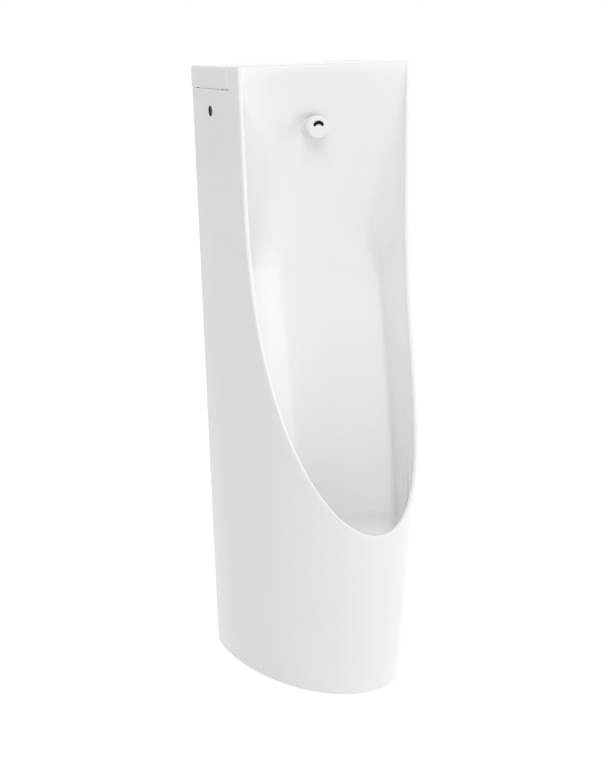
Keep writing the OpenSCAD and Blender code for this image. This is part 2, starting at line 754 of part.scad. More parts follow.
// A screw through each side of the head into its bracket, in a rubber sleeve whose cup lines the recess
sleeve_t = 1.2;
head_r = 6;
recess_floor = half_w(side_screw_z) - wall / 2;
screw_seat = recess_floor + sleeve_t;
module side_screws() {
    long = screw_seat - arm_x + bracket_t + 6;
    color(black_steel) for (s = [-1, 1])
        at(s * screw_seat, side_screw_back, side_screw_z) rotate([0, 90 * s, 0]) difference() {
            union() {
                cylinder(r = head_r, h = 3.2);
                translate([0, 0, -long]) cylinder(r = 3, h = long + 0.5);
            }
            translate([-head_r - 1, -0.8, 1.6]) cube([2 * head_r + 2, 1.6, 3]);
            translate([-0.8, -head_r - 1, 1.6]) cube([1.6, 2 * head_r + 2, 3]);
        }
}
module side_sleeves() {
    r = recess_d / 2 - slit;
    deep = wall / 2 - 0.8;
    color(black_rubber) for (s = [-1, 1])
        at(s * screw_seat, side_screw_back, side_screw_z) rotate([0, -90 * s, 0]) difference() {
            union() {
                translate([0, 0, sleeve_t - deep]) cylinder(r = r, h = deep);
                cylinder(r = 4.8, h = screw_seat - arm_x);
            }
            translate([0, 0, -deep]) cylinder(r = r - sleeve_t, h = deep);
            translate([0, 0, -1]) cylinder(r = 3 + fit, h = wall + 6);
        }
}
module bracket_nuts() {
    color(steel) for (s = [-1, 1])
        at(s * (arm_x - bracket_t), side_screw_back, side_screw_z) rotate([0, -90 * s, 0])
            hex_nut(10, 3 + fit, 5);
}

// The control box on the plate, with the batteries in a tray that pulls out upwards
box_x = -(plate_w / 2) + 20;
box_back = bracket_t + sheet;
box_z = plate_high - box_h + 24;
tray_w = 2 * battery_d + 5;
tray_h = battery_l + 6;
tray_x = box_x + box_w - box_wall - tray_w - slit;
tray_z = box_z + box_h - tray_h;
tray_depth = box_depth - 2 * box_wall - 2 * slit;
tray_back = box_back + box_wall + slit;
module control_box() {
    color(grey_plastic) at(0, box_back + box_depth, 0) difference() {
        translate([box_x, 0, box_z]) cube([box_w, box_depth, box_h]);
        translate([tray_x - slit, box_wall, tray_z - slit])
            cube([tray_w + 2 * slit, box_depth - 2 * box_wall, tray_h + 5]);
        translate([box_x + box_wall, box_wall, box_z + box_wall])
            cube([tray_x - 2 * box_wall - box_x - slit, box_depth - 2 * box_wall, box_h]);
        translate([box_x + box_wall, box_wall, box_z + box_wall])
            cube([box_w - 2 * box_wall, box_depth - 2 * box_wall, tray_z - slit - box_z - 2 * box_wall]);
        for (d = lead_spots) translate([box_x + box_w - box_wall - 1, d, lead_z]) rightward()
            cylinder(r = 2.4, h = box_wall + 2);
    }
}
lead_spots = [15, 26];
lead_z = box_z + 18;
lid_w = tray_x - box_wall - box_x - slit;
module control_lid() {
    color(grey_plastic) at(box_x, box_back + box_depth, box_z + box_h) union() {
        cube([lid_w + box_wall / 2, box_depth, 2.5]);
        translate([box_wall + slit, box_wall + slit, -3])
            cube([lid_w - 2 * box_wall - slit, box_depth - 2 * box_wall - 2 * slit, 3]);
    }
}
module circuit_board() {
    low = box_z + box_wall;
    w = lid_w - 2 * box_wall - 2;
    color([0.1, 0.35, 0.2]) at(box_x + box_wall + 1, box_back + box_depth / 2, low) union() {
        cube([w, 1.6, box_h - 12]);
        translate([4, -4.9, 12]) cube([12, 5, 12]);
        translate([w - 12, -3.4, 40]) cube([9, 3.5, 9]);
        translate([w / 2, -4.9, 66]) cube([8, 5, 6]);
    }
}
module battery_tray() {
    color(black_plastic) at(tray_x, tray_back + tray_depth, tray_z) difference() {
        union() {
            cube([tray_w, tray_depth, tray_h]);
            translate([-1.5, -1.5, tray_h + slit]) cube([tray_w + 3, tray_depth + 3, 2.5]);
            translate([4, 4, tray_h]) cube([tray_w - 8, tray_depth - 8, 1]);
            translate([tray_w / 2 - 8, tray_depth / 2 - 2, tray_h]) cube([16, 4, 8]);
        }
        for (i = [-0.5, 0.5]) for (j = [-0.5, 0.5])
            translate([tray_w / 2 + i * (battery_d + 1), tray_depth / 2 + j * (battery_d + 1), -1])
                cylinder(r = battery_d / 2 + 0.1, h = battery_l + 3);
    }
}
module batteries() {
    pitch = battery_d + 1;
    for (i = [-0.5, 0.5]) for (j = [-0.5, 0.5]) color([0.75, 0.7, 0.55])
        at(tray_x + tray_w / 2 + i * pitch, tray_back + tray_depth / 2 - j * pitch, tray_z + 1) {
            cylinder(r = battery_d / 2, h = battery_l - 1.5);
            cylinder(r = 2.75, h = battery_l);
        }
}

// Leads from the sensor and the coil to the control box
lead_r = 1.7;
function spot(x, d, z) = [x, wall_y - d, z];
function arc3(p, q, r, n) =
    [for (i = [0 : n]) let (t = i / n) p * (1 - t) * (1 - t) + q * 2 * t * (1 - t) + r * t * t];
module sensor_cable() {
    start = cap_back + plate_t + 1.4;
    low = spot(-7, elbow_rear - 22, spreader_z - 14);
    box = spot(box_x + box_w - 1, box_back + box_depth - lead_spots[1], lead_z);
    color(black_rubber) cable(concat(
        [for (i = [0 : 14]) spot(0, start - (start + 6.6 - elbow_rear) * i / 14, spreader_z)],
        inner(arc3(spot(0, elbow_rear - 8, spreader_z), spot(0, elbow_rear - 22, spreader_z), low, 5)),
        arc3(low, spot(-16, elbow_rear - 22, lead_z), box, 8)), lead_r);
}
module solenoid_lead() {
    start = spot(valve_x - 18, valve_back, coil_z + 17);
    mid = spot(valve_x / 3, valve_back - 25, coil_z - 2);
    box = spot(box_x + box_w - 1, box_back + box_depth - lead_spots[0], lead_z);
    turn = spot(valve_x / 3, valve_back - 44, lead_z + 6);
    color(black_rubber) cable(concat(
        arc3(start, spot(valve_x / 3, valve_back - 2, coil_z + 17), mid, 6),
        inner(concat([mid], arc3(mid, turn, box, 8))), [box]), lead_r);
}

// The trap: a cup in the china, and a tube with a strainer that lift out together
seat_depth = 6;
cup_flange_r = drain_hole_d / 2 + 6;
gasket_t = 2;
cup_flange_t = 3;
cup_top = bowl_floor - 1;
cup_low_flange = cup_top - cup_flange_t;
under_z = bowl_floor - wall;
washer_t = 2;
ring_h = 12;
port_z = cup_bottom + 88;
shoulder_z = port_z + pipe_d / 2 + 1;
module trap_cup() {
    r = cup_d / 2;
    color(grey_plastic) at(0, drain_back, 0) difference() {
        union() {
            translate([0, 0, cup_bottom]) cylinder(r = r, h = cup_top - cup_bottom);
            translate([0, 0, cup_low_flange]) cylinder(r = cup_flange_r, h = cup_flange_t);
            translate([0, 0, port_z]) rotate([-90, 0, 0]) cylinder(r = pipe_d / 2, h = r + 12);
        }
        translate([0, 0, cup_bottom + cup_wall]) cylinder(r = r - 2 * cup_wall, h = cup_top - cup_bottom);
        translate([0, 0, shoulder_z]) cylinder(r = r - cup_wall, h = cup_top - shoulder_z + 1);
        translate([0, 0, port_z]) rotate([-90, 0, 0]) cylinder(r = pipe_d / 2 - cup_wall, h = r + 13);
    }
}
module cup_gasket() {
    color(black_rubber) at(0, drain_back, bowl_floor - seat_depth)
        tube(cup_flange_r - 0.5, cup_d / 2 + fit, gasket_t);
}
module cup_washer() {
    color(black_rubber) at(0, drain_back, under_z - washer_t)
        tube(drain_hole_d / 2 + 8, cup_d / 2 + fit, washer_t);
}
module cup_nut() {
    r = drain_hole_d / 2 + 8;
    color(grey_plastic) at(0, drain_back, under_z - washer_t - ring_h) difference() {
        union() {
            cylinder(r = r, h = ring_h);
            for (a = [0 : 45 : 315]) rotate([0, 0, a]) translate([r - 1, -4, 0]) cube([5, 8, ring_h]);
        }
        translate([0, 0, -1]) cylinder(r = cup_d / 2 + fit, h = ring_h + 2);
    }
}
lift_r = cup_d / 2 - cup_wall - slit;
seal_h = 4;
tube_flange_z = shoulder_z + seal_h;
module trap_tube() {
    r = dip_d / 2;
    low = cup_bottom + cup_wall + 10;
    color(grey_plastic) at(0, drain_back, 0) difference() {
        union() {
            translate([0, 0, low]) cylinder(r = r, h = tube_flange_z - low);
            translate([0, 0, tube_flange_z]) cylinder(r = lift_r, h = 4);
            translate([0, 0, tube_flange_z]) cylinder(r = lift_r - 3, h = strainer_z - tube_flange_z);
        }
        translate([0, 0, low - 1]) cylinder(r = r - 2.5, h = strainer_z);
        translate([0, 0, tube_flange_z + 4]) cylinder(r = lift_r - 6, h = strainer_z - tube_flange_z);
    }
}
module trap_seal() {
    color(black_rubber) at(0, drain_back, tube_flange_z - seal_h) tube(lift_r, dip_d / 2 + fit, seal_h);
}
strainer_z = cup_top - 4;
strainer_rings = [[0, 1], [11, 6], [21, 12], [30, 16]];
module strainer() {
    color(steel) at(0, drain_back, strainer_z) difference() {
        cylinder(r = lift_r, h = 3);
        for (ring = strainer_rings) for (k = [0 : ring[1] - 1]) rotate([0, 0, 360 * k / ring[1]])
            translate([ring[0], 0, -1]) cylinder(r = 2.8, h = 6, $fn = 24);
    }
}
// The outlet runs back from the cup, turns down and ends in the floor flange
turn_r = 38;
pipe_start = drain_back - cup_d / 2 - 1.5;
spigot_end = drain_back - cup_d / 2 - 12;
flange_h = 8;
collar_h = 30;
collar_r = pipe_d / 2 + 7;
face_seal_h = 4;
face_seal_r = socket_d / 2 - 0.5;
pipe_low = socket_depth + face_seal_h + 4;
socket_r = socket_d / 2;
module outlet_pipe() {
    ro = pipe_d / 2;
    ri = ro - pipe_wall;
    sleeve = ro + 3;
    color(grey_plastic) {
        difference() {
            at(0, pipe_start, port_z) rotate([-90, 0, 0])
                cylinder(r = sleeve, h = pipe_start - outlet_back - turn_r);
            at(0, pipe_start + 1, port_z) rotate([-90, 0, 0])
                cylinder(r = ro + fit, h = pipe_start + 1 - spigot_end + slit);
            at(0, pipe_start + 1, port_z) rotate([-90, 0, 0])
                cylinder(r = ri, h = pipe_start - outlet_back);
        }
        at(0, outlet_back + turn_r, port_z - turn_r) rotate([0, 0, 90]) rotate([90, 0, 0])
            rotate_extrude(angle = 90)
            translate([turn_r, 0]) difference() {
                circle(r = ro);
                circle(r = ri);
            }
        at(0, outlet_back, pipe_low) tube(ro, ri, port_z - turn_r - pipe_low);
    }
}
module pipe_seal() {
    color(black_rubber) at(0, outlet_back, pipe_low + 4) tube(collar_r - 3 - fit, pipe_d / 2 + fit, 12);
}
module floor_flange() {
    color(grey_plastic) at(0, outlet_back, 0) difference() {
        union() {
            cylinder(r = flange_d / 2, h = flange_h);
            cylinder(r = socket_r + 3, h = pipe_low);
            cylinder(r = collar_r, h = socket_depth + collar_h);
        }
        translate([0, 0, -1]) cylinder(r = socket_r, h = socket_depth + 1);
        translate([0, 0, socket_depth - 1]) cylinder(r = face_seal_r, h = face_seal_h + 1);
        translate([0, 0, -1]) cylinder(r = pipe_d / 2 - pipe_wall, h = pipe_low + 2);
        translate([0, 0, pipe_low]) cylinder(r = pipe_d / 2 + fit, h = socket_depth + collar_h);
        translate([0, 0, pipe_low + 4]) cylinder(r = collar_r - 3, h = 12);
        for (a = [45 : 90 : 315]) rotate([0, 0, a]) translate([flange_d / 2 - 12, 0, -1])
            cylinder(r = 3.2, h = flange_h + 2);
    }
}
module flange_seal() {
    color(black_rubber) at(0, outlet_back, socket_depth + slit)
        tube(face_seal_r - fit, socket_r - 5, face_seal_h - slit);
}

china_body();
top_cover();
cover_pads();
spreader_cap();
sensor_window();
sensor_board();
spreader_stem();
spreader_seal();
stem_washer();
stem_nut();
feed_elbow();
supply_tube();
tube_nuts();
valve_body();
diaphragm();
valve_bonnet();
bonnet_screws();
core_tube();
solenoid_coil();
plunger();
plunger_spring();
inlet_filter();
union_nut();
stop_body();
stop_spindle();
stop_gland();
inlet_nipple();
valve_shelf();
service_plate();
control_box();
control_lid();
circuit_board();
battery_tray();
batteries();
sensor_cable();
solenoid_lead();
wall_brackets();
side_screws();
side_sleeves();
bracket_nuts();
plate_screws();
trap_cup();
cup_gasket();
cup_washer();
cup_nut();
strainer();
trap_tube();
trap_seal();
outlet_pipe();
pipe_seal();
floor_flange();
flange_seal();
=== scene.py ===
# %% [markdown]
# # A floor-standing urinal in glazed china
#
# The solid model gives the frame: its nodes are already in place, in metres, with the floor at z = 0 and
# the wall at the back. This script gives it its looks. The china is drawn again as one smooth skin from the
# same formulas as the solid, because a glaze shows every facet in its reflections.
#
# What each step teaches:
# 1. how a solid and its picture share one frame,
# 2. how a grid turns into any smooth skin once each of its points has a rule,
# 3. how a rounded rim is made from two small offsets,
# 4. how a copy of a solid, with a mesh of its own, takes the solid's place,
# 5. how one camera and two soft lights make a product photograph.

import json
import math

import bmesh
import bpy
from mathutils import Matrix, Vector


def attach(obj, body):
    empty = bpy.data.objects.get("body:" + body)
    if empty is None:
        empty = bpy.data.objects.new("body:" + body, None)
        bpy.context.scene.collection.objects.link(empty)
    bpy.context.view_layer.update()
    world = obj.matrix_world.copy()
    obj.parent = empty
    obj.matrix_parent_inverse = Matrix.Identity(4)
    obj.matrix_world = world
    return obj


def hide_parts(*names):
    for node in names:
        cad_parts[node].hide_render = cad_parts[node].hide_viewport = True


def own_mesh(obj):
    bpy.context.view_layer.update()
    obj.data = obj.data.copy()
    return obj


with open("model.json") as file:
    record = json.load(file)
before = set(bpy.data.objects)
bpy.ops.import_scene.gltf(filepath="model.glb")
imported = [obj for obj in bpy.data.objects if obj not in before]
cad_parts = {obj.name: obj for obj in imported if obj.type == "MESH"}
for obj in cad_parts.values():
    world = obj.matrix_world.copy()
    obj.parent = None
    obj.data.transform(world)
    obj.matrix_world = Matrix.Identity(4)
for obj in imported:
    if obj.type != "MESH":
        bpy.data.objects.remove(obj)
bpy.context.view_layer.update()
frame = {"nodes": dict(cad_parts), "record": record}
nodes = frame["nodes"]

# %% [markdown]
# ## The outer face of the china
#
# The body is one casting: a column that is a little narrower at its foot, and whose front leans out from
# the foot to the lip. It could be shaped by hand, but each of its levels is a part of an ellipse, so a few
# formulas are shorter and exact. Lengths are in millimetres here, with d as the distance from the wall and
# z as the height. half_w is the ellipse's half width, reach its forward half axis and BULGE its middle.

# %% The column
HEIGHT, TOP_W, BASE_W = 1000.0, 310.0, 292.0
BASE_D, LIP_D, LIP_H, BULGE = 314.0, 362.0, 283.0, 58.0
WALL_Y = LIP_D / 2


def point(x, d, z):
    """A point of the frame, in metres."""
    return Vector((x / 1000, (WALL_Y - d) / 1000, z / 1000))


def half_w(z):
    return (BASE_W + (TOP_W - BASE_W) * z / HEIGHT) / 2


def front(z):
    return BASE_D + (LIP_D - BASE_D) * z / LIP_H


def reach(z):
    return front(z) - BULGE


print(f"the front reaches {front(LIP_H)} mm from the wall at {LIP_H} mm over the floor")

# %% [markdown]
# A place on this face is found from its wall distance, or from an angle t that runs round the ellipse. Each
# way takes one more number, skin_in, which says how far the place lies under the face. So the inside of a
# wall needs no formula of its own.

# %% Places on the face and under it
def side_x(z, d, skin_in):
    """Half the width at one height and wall distance."""
    return (half_w(z) - skin_in) * math.sqrt(max(0.0, 1 - ((d - BULGE) / (reach(z) - skin_in)) ** 2))


def angle(z, d, skin_in):
    """The angle t at one height and wall distance."""
    return math.asin(max(-1.0, min(1.0, (d - BULGE) / (reach(z) - skin_in))))


def on_skin(z, t, skin_in):
    """(x, d) at one height and angle."""
    return (half_w(z) - skin_in) * math.cos(t), BULGE + (reach(z) - skin_in) * math.sin(t)


print(f"width at the wall: {2 * side_x(0, 0, 0):.1f} mm below, {2 * side_x(HEIGHT, 0, 0):.1f} mm on top")

# %% [markdown]
# ## The rim and the wall
#
# The rim runs straight down the head and then swings forward to the lip, where both sides meet. Seen from
# the side it is a single curve. It could be a spline with points of its own, but a power of the height
# gives the same swing with one number, and its slope is then known everywhere.

# %% The rim's curve, seen from the side
TOP_D, RIM_START, RIM_POWER = 188.0, 800.0, 2.2
RIM_SPAN = RIM_START - LIP_H


def rim_d(z):
    """The wall distance of the rim."""
    if z > RIM_START:
        return TOP_D
    return TOP_D + (LIP_D - TOP_D) * ((RIM_START - z) / RIM_SPAN) ** RIM_POWER


def rim_slope(part):
    """How far the rim comes forward per millimetre of height, at one part of its curve."""
    return RIM_POWER * (LIP_D - TOP_D) * part ** (RIM_POWER - 1) / RIM_SPAN


def behind_rim(z, d):
    """How far a point of the side view lies behind the rim's curve."""
    slope = rim_slope(max(0.0, (RIM_START - z) / RIM_SPAN))
    return (rim_d(z) - d) / math.hypot(1, slope)


print(f"rim: {rim_d(HEIGHT)} mm from the wall on top, {rim_d((RIM_START + LIP_H) / 2):.0f} mm halfway down")

# %% [markdown]
# The rim looks slim in the photograph, yet china has to be thick to be strong. So the wall is thin at the
# rim only, and thickens over a few centimetres behind it. A straight change would show as a crease in the
# glaze. The change is eased at both ends instead.

# %% The wall behind the rim
WALL, RIM_WALL, RIM_ROLL = 12.0, 7.5, 45.0


def ease(part):
    """Goes from 0 to 1 with part, softly at both ends."""
    part = min(1.0, max(0.0, part))
    return part * part * (3 - 2 * part)


def wall_at(far):
    """The wall's thickness at some distance behind the rim."""
    return RIM_WALL + (WALL - RIM_WALL) * ease(far / RIM_ROLL)


for where, far in (("at the rim", 0), ("halfway", RIM_ROLL / 2), ("behind it", RIM_ROLL)):
    print(f"wall {where}: {wall_at(far):.1f} mm")

# %% [markdown]
# ## The back of the bowl
#
# The water runs down the back of the bowl. It is flat near the top, hollows out towards the middle of its
# height, and leans forward below, down to the bowl's floor. It could be a bent sheet, but the hollow behind
# it has to follow it at an even distance. So two curves give its wall distance, one in the middle and one
# at the sides, and every other shape that needs it reads them.

# %% The back's two curves
HOLLOW_H, HOLLOW_BACK, HOLLOW_CORNER = 650.0, 55.0, 88.0
FLOOR, FLOOR_LEAN, SOFT_LEAN = 186.0, 92.8, 60.0
MIDDLE_POWER, SIDE_POWER, ACROSS_POWER = 2, 1.1, 2.2
LEAN = FLOOR_LEAN / (HOLLOW_H - FLOOR)
BACK_TOP = TOP_D + 2


def back(z, gap=0.0):
    """The wall distance of the back in its middle and at its sides, less a gap."""
    rise = max(0.0, (z - HOLLOW_H) / (HEIGHT - HOLLOW_H))
    below = HOLLOW_H - z
    lean = LEAN * (below if below > SOFT_LEAN else max(0.0, below + SOFT_LEAN) ** 2 / (4 * SOFT_LEAN))
    middle = HOLLOW_BACK + (BACK_TOP - HOLLOW_BACK) * rise**MIDDLE_POWER + lean
    side = HOLLOW_CORNER + (BACK_TOP - HOLLOW_CORNER) * rise**SIDE_POWER + lean
    return min(middle, TOP_D) - gap, min(side, TOP_D) - gap


def across_back(middle, side, s):
    """The wall distance across the back, from its middle, s = 0, to its sides, s = 1 and -1."""
    return middle + (side - middle) * abs(s) ** ACROSS_POWER


deep, deep_side = back(HOLLOW_H)
print(f"the back is {deep:.0f} mm from the wall at {HOLLOW_H} mm, and {deep_side:.0f} mm at its sides")

# %% [markdown]
# ## From a grid to a skin
#
# A glazed surface needs many small faces in neat rows. They could be listed one by one, but an operator
# makes them: bmesh creates a flat grid, and each of its points is then moved to where its row and column
# belong. Rows of points are all that a shape needs.

# %% A grid that takes a shape
def skin(bm, rows):
    """Adds a grid with a row of quads between each two rows of points."""
    ny, nx = len(rows) - 1, len(rows[0]) - 1
    made = bmesh.ops.create_grid(bm, x_segments=nx, y_segments=ny, size=1.0)["verts"]
    for v in made:
        i = round((v.co.x + 1) / 2 * nx)
        j = round((v.co.y + 1) / 2 * ny)
        v.co = rows[j][i]


def mirrored(points):
    return [Vector((-p.x, p.y, p.z)) for p in points]


print(f"mirrored: {point(10, 0, 0).x} becomes {mirrored([point(10, 0, 0)])[0].x}")

# %% [markdown]
# A carving tool wants closed solids, so the skin's open loops are filled. The loops lie flat, on the wall
# or at one height, and a test on their points finds them. Where the open loop ends at the wall, an edge is
# drawn across first.

# %% Closing a skin
NEAR, MERGE = 1e-5, 2e-6


def at_height(z):
    return lambda c: abs(c.z - z / 1000) < NEAR


def at_wall(c):
    return abs(c.y - WALL_Y / 1000) < NEAR


def close_flat(bm, test):
    """Fills the loop of open edges whose two ends pass the test."""
    edges = [e for e in bm.edges if len(e.link_faces) < 2 and all(test(v.co) for v in e.verts)]
    bmesh.ops.edgeloop_fill(bm, edges=edges)


def edge_at_wall(bm, z):
    """Joins the two points that touch the wall at one height."""
    ends = [v for v in bm.verts if at_wall(v.co) and at_height(z)(v.co)]
    bmesh.ops.contextual_create(bm, geom=ends)


print(f"points within {MERGE * 1000} mm are one")

# %% [markdown]
# A finished skin has its doubles merged and its normals turned outwards. Then it is shaded smooth, with
# hard lines only where two faces meet at a real edge. One helper does this for every piece, so that all
# pieces catch the light alike.

# %% Finishing a mesh
SHARP, SHARP_CARVED = 0.6, 0.5


def shade(bm, sharp):
    """Smooth faces, with a hard line where they meet at more than the angle sharp."""
    for f in bm.faces:
        f.smooth = True
    for e in bm.edges:
        e.smooth = len(e.link_faces) != 2 or e.calc_face_angle(0.0) < sharp


def to_object(bm, name):
    mesh = bpy.data.meshes.new(name)
    bm.to_mesh(mesh)
    bm.free()
    obj = bpy.data.objects.new(name, mesh)
    bpy.context.scene.collection.objects.link(obj)
    return obj


def finish_mesh(bm, name):
    bmesh.ops.remove_doubles(bm, verts=bm.verts[:], dist=MERGE)
    bmesh.ops.recalc_face_normals(bm, faces=bm.faces[:])
    shade(bm, SHARP)
    return to_object(bm, name)


print(f"hard lines from {math.degrees(SHARP):.0f} degrees, {math.degrees(SHARP_CARVED):.0f} on carved pieces")

# %% [markdown]
# ## The rounded rim
#
# Glaze pulls back from a sharp edge, so every edge of the china is round. A bevel would be the usual way,
# but on a rim that curves in space and gets thinner it comes out uneven. Here the rim is a family of lines.
# Each has two small offsets: skin_in, how far it lies under the outer face, and sunk, how far it lies under
# the cut. Quarter circles in those two numbers round both edges off.

# %% The lines over the rim
OUT_R, IN_R, TOP_R, ROOM = 3.0, 3.0, 3.0, 0.45
QUARTER = [math.radians(15 * k) for k in range(7)]


def rounding(r, a):
    """How far a point of a quarter circle lies under the two faces that it joins."""
    return r * (1 - math.cos(a)), r * (1 - math.sin(a))


def rim_lines(inner):
    """(skin_in, sunk) from the outer face, over the rim, to the inner face."""
    outer_edge = [rounding(OUT_R, a) for a in QUARTER]
    inner_edge = [rounding(inner, a) for a in reversed(QUARTER)]
    return outer_edge + [(RIM_WALL - skin_in, sunk) for skin_in, sunk in inner_edge]


def inner_r(z):
    """The inner edge's radius, smaller where the bowl is too shallow for it."""
    return min(IN_R, ROOM * max(0.0, rim_d(z) - back(z)[1]))


print(f"{len(rim_lines(IN_R))} lines run over the rim")

# %% [markdown]
# Each line has to end exactly where it meets its twin from the other side, in the middle of the lip. There
# is no short formula for that place, so the span is halved again and again until it is found.

# %% Where a line meets the cut
PAST_LIP, HALVINGS = 30.0, 50


def cut_point(s, skin_in, sunk):
    """(d, z) on the rim, s below its start: level across the wall at the lip, and sunk under the cut."""
    z, part = RIM_START - s, s / RIM_SPAN
    slope = rim_slope(part)
    n = math.hypot(1, slope)
    turn_in = min(1.0, part) * skin_in * min(1.0, (rim_d(z) - BULGE) / reach(z))
    return rim_d(z) - turn_in - sunk / n, z - sunk * slope / n


def cut_end(skin_in, sunk):
    """How far down the curve a line meets its twin."""
    a, b = 0.0, RIM_SPAN + PAST_LIP
    for _ in range(HALVINGS):
        m = (a + b) / 2
        d, z = cut_point(m, skin_in, sunk)
        if d - BULGE < reach(z) - skin_in:
            a = m
        else:
            b = m
    return a


print(f"the outermost line ends {cut_end(0.0, OUT_R):.1f} mm under the start of the swing")

# %% [markdown]
# Now the lines are cut into levels: a few round the top edge, some down the straight head, and many along
# the swing, closer together near the lip, where it bends most. At the top a third offset, inset, rounds the
# upper edge in the same way.

# %% The rows over the rim
TOP_N, STRAIGHT_N, CURVED_N = 5, 14, 46
levels = []
for k in range(TOP_N, 0, -1):
    inset, sunk = rounding(TOP_R, math.radians(90 / TOP_N * k))
    levels.append(("top", HEIGHT - sunk, inset))
straight = HEIGHT - TOP_R - RIM_START
levels += [("plain", HEIGHT - TOP_R - straight * k / STRAIGHT_N, 0.0) for k in range(STRAIGHT_N)]
levels += [("curve", 1 - (1 - k / CURVED_N) ** 2, 0.0) for k in range(CURVED_N + 1)]


def rim_row(level):
    """The points over the rim at one level, and the last one's (d, z)."""
    kind, value, inset = level
    on_curve = kind == "curve"
    z_here = RIM_START - value * RIM_SPAN if on_curve else value
    row = []
    for skin_in, sunk in rim_lines(inner_r(z_here)):
        if on_curve:
            d, z = cut_point(cut_end(skin_in, sunk) * value, skin_in, sunk)
        else:
            d, z = TOP_D - sunk - inset, value
        at_lip = on_curve and value == 1
        row.append(point(0.0 if at_lip else side_x(z, d, skin_in + inset), d, z))
    return row, (d, z)


rim_rows, rim_ends = zip(*[rim_row(level) for level in levels])
print(f"{len(rim_rows)} rows of {len(rim_rows[0])} points over the rim")

# %% [markdown]
# ## The bowl
#
# At each height the inside is a line like a U seen from above: from the rim along the side, round a corner,
# across the back and out again. It could be carved out of the body, but then the glaze would show the cut.
# Drawn as rows that start on the rim's last points, the bowl and the rim are one skin. The corner is crisp
# in the lower bowl and melts away towards the top, as the photograph shows.

# %% The corner of the bowl
CORNER_R, CORNER_N = 7.0, 16
BLEND_LOW, BLEND_HIGH, BLEND_SIDE, BLEND_BACK = 610.0, 800.0, 0.9, 75.0


def corner_reach(z, length):
    """How far the corner reaches along a side of some length, and along the back."""
    soft = ease((z - BLEND_LOW) / (BLEND_HIGH - BLEND_LOW))
    crisp = min(CORNER_R, ROOM * length)
    return crisp + (BLEND_SIDE * length - crisp) * soft, crisp + (BLEND_BACK - crisp) * soft


def corner(p, q, r):
    """A curve between p and r that leaves each of them towards q."""
    curve = []
    for i in range(1, CORNER_N):
        t = i / CORNER_N
        curve.append(tuple(p[k] * (1 - t) ** 2 + 2 * q[k] * t * (1 - t) + r[k] * t * t for k in (0, 1)))
    return curve


on_low, on_high = corner_reach(BLEND_LOW, TOP_D)[1], corner_reach(BLEND_HIGH, TOP_D)[1]
print(f"the corner reaches {on_low:.0f} mm along the back low down, and {on_high:.0f} mm high up")

# %% [markdown]
# The side starts at the rim with the thin wall and moves inwards as the wall thickens. Each point of the
# side therefore asks how far it lies behind the rim. Below the lip there is no rim beside it any more, so
# the distance is counted from the lip instead, and handed over as far_0. A table of widths for each height
# would work too, but it would have to be typed again after every change of the rim.

# %% A line round the bowl
SIDE_N, BACK_N, AT_LIP = 26, 40, 1e-6


def u_line(z, d_start, inset=0.0, far_0=None):
    """The line round the bowl at one height, from one end to the other."""
    if far_0 is None:
        far_0 = behind_rim(z, d_start)

    def skin_at(d):
        return wall_at(behind_rim(z, d) - far_0) + inset

    middle, side = back(z, inset)
    on_side, on_back = corner_reach(z, max(0.0, d_start - side))
    thin = RIM_WALL + inset
    t_a = math.pi / 2 if d_start >= front(z) - thin - AT_LIP else angle(z, d_start, thin)
    t_b = angle(z, side + on_side, skin_at(side + on_side))
    right = []
    for i in range(SIDE_N + 1):
        t = t_a + (t_b - t_a) * i / SIDE_N
        right.append(on_skin(z, t, skin_at(on_skin(z, t, thin)[1])))
    x_side = side_x(z, side, skin_at(side))
    s_end = 1 - on_back / x_side
    slope = ACROSS_POWER * (side - middle) * s_end ** (ACROSS_POWER - 1) / x_side
    end = (x_side * s_end, across_back(middle, side, s_end))
    right += corner(right[-1], (x_side, end[1] + slope * (x_side - end[0])), end)
    across = []
    for j in range(BACK_N + 1):
        s = s_end * math.cos(math.pi * j / BACK_N)
        across.append((x_side * s, across_back(middle, side, s)))
    left = [(-x, d) for x, d in reversed(right)]
    return [point(x, d, z) for x, d in right + across + left]


print(f"a line round the bowl has {len(u_line(RIM_START, TOP_D))} points")

# %% [markdown]
# Below the lip the two ends of the U meet and it is a ring. The rings go straight down to the dish, and
# there they shrink towards the drain while they sink along a quarter circle, which gives the rounded floor
# that lets the water run off. A flat floor would be simpler, but urine would stand in its corners.

# %% The rings of the lower bowl
ROUND, DRAIN_D, DRAIN_R, DRAIN_EDGE = 60.0, 255.0, 46.0, 14.0
LOWER_N, DISH_N = 8, 14


def ring(z, k, at_z, far_0):
    """The bowl's line at z, shrunk by k towards the drain and put at at_z."""
    line = u_line(z, front(z) - RIM_WALL, 0.0, far_0)
    c = point(0, DRAIN_D, z)
    return [Vector(((p.x - c.x) * k, c.y + (p.y - c.y) * k, at_z / 1000)) for p in line]


bowl_rows = [u_line(z, d, inset) for (_, _, inset), (d, z) in zip(levels, rim_ends)]
z_last = bowl_rows[-1][0].z * 1000
far_last = behind_rim(z_last, rim_ends[-1][0])
dish_top = FLOOR + ROUND
for k in range(1, LOWER_N + 1):
    z = z_last + (dish_top - z_last) * k / LOWER_N
    bowl_rows.append(ring(z, 1.0, z, far_last))
mouth = (DRAIN_R + DRAIN_EDGE) / side_x(FLOOR, DRAIN_D, WALL)
for k in range(1, DISH_N + 1):
    a = math.pi / 2 * k / DISH_N
    shrink = mouth + (1 - mouth) * math.cos(a)
    bowl_rows.append(ring(dish_top, shrink, dish_top - ROUND * math.sin(a), far_last))
bm = bmesh.new()
skin(bm, rim_rows)
skin(bm, [mirrored(row) for row in rim_rows])
skin(bm, bowl_rows)
print(f"rim and bowl: {len(bm.faces)} faces")

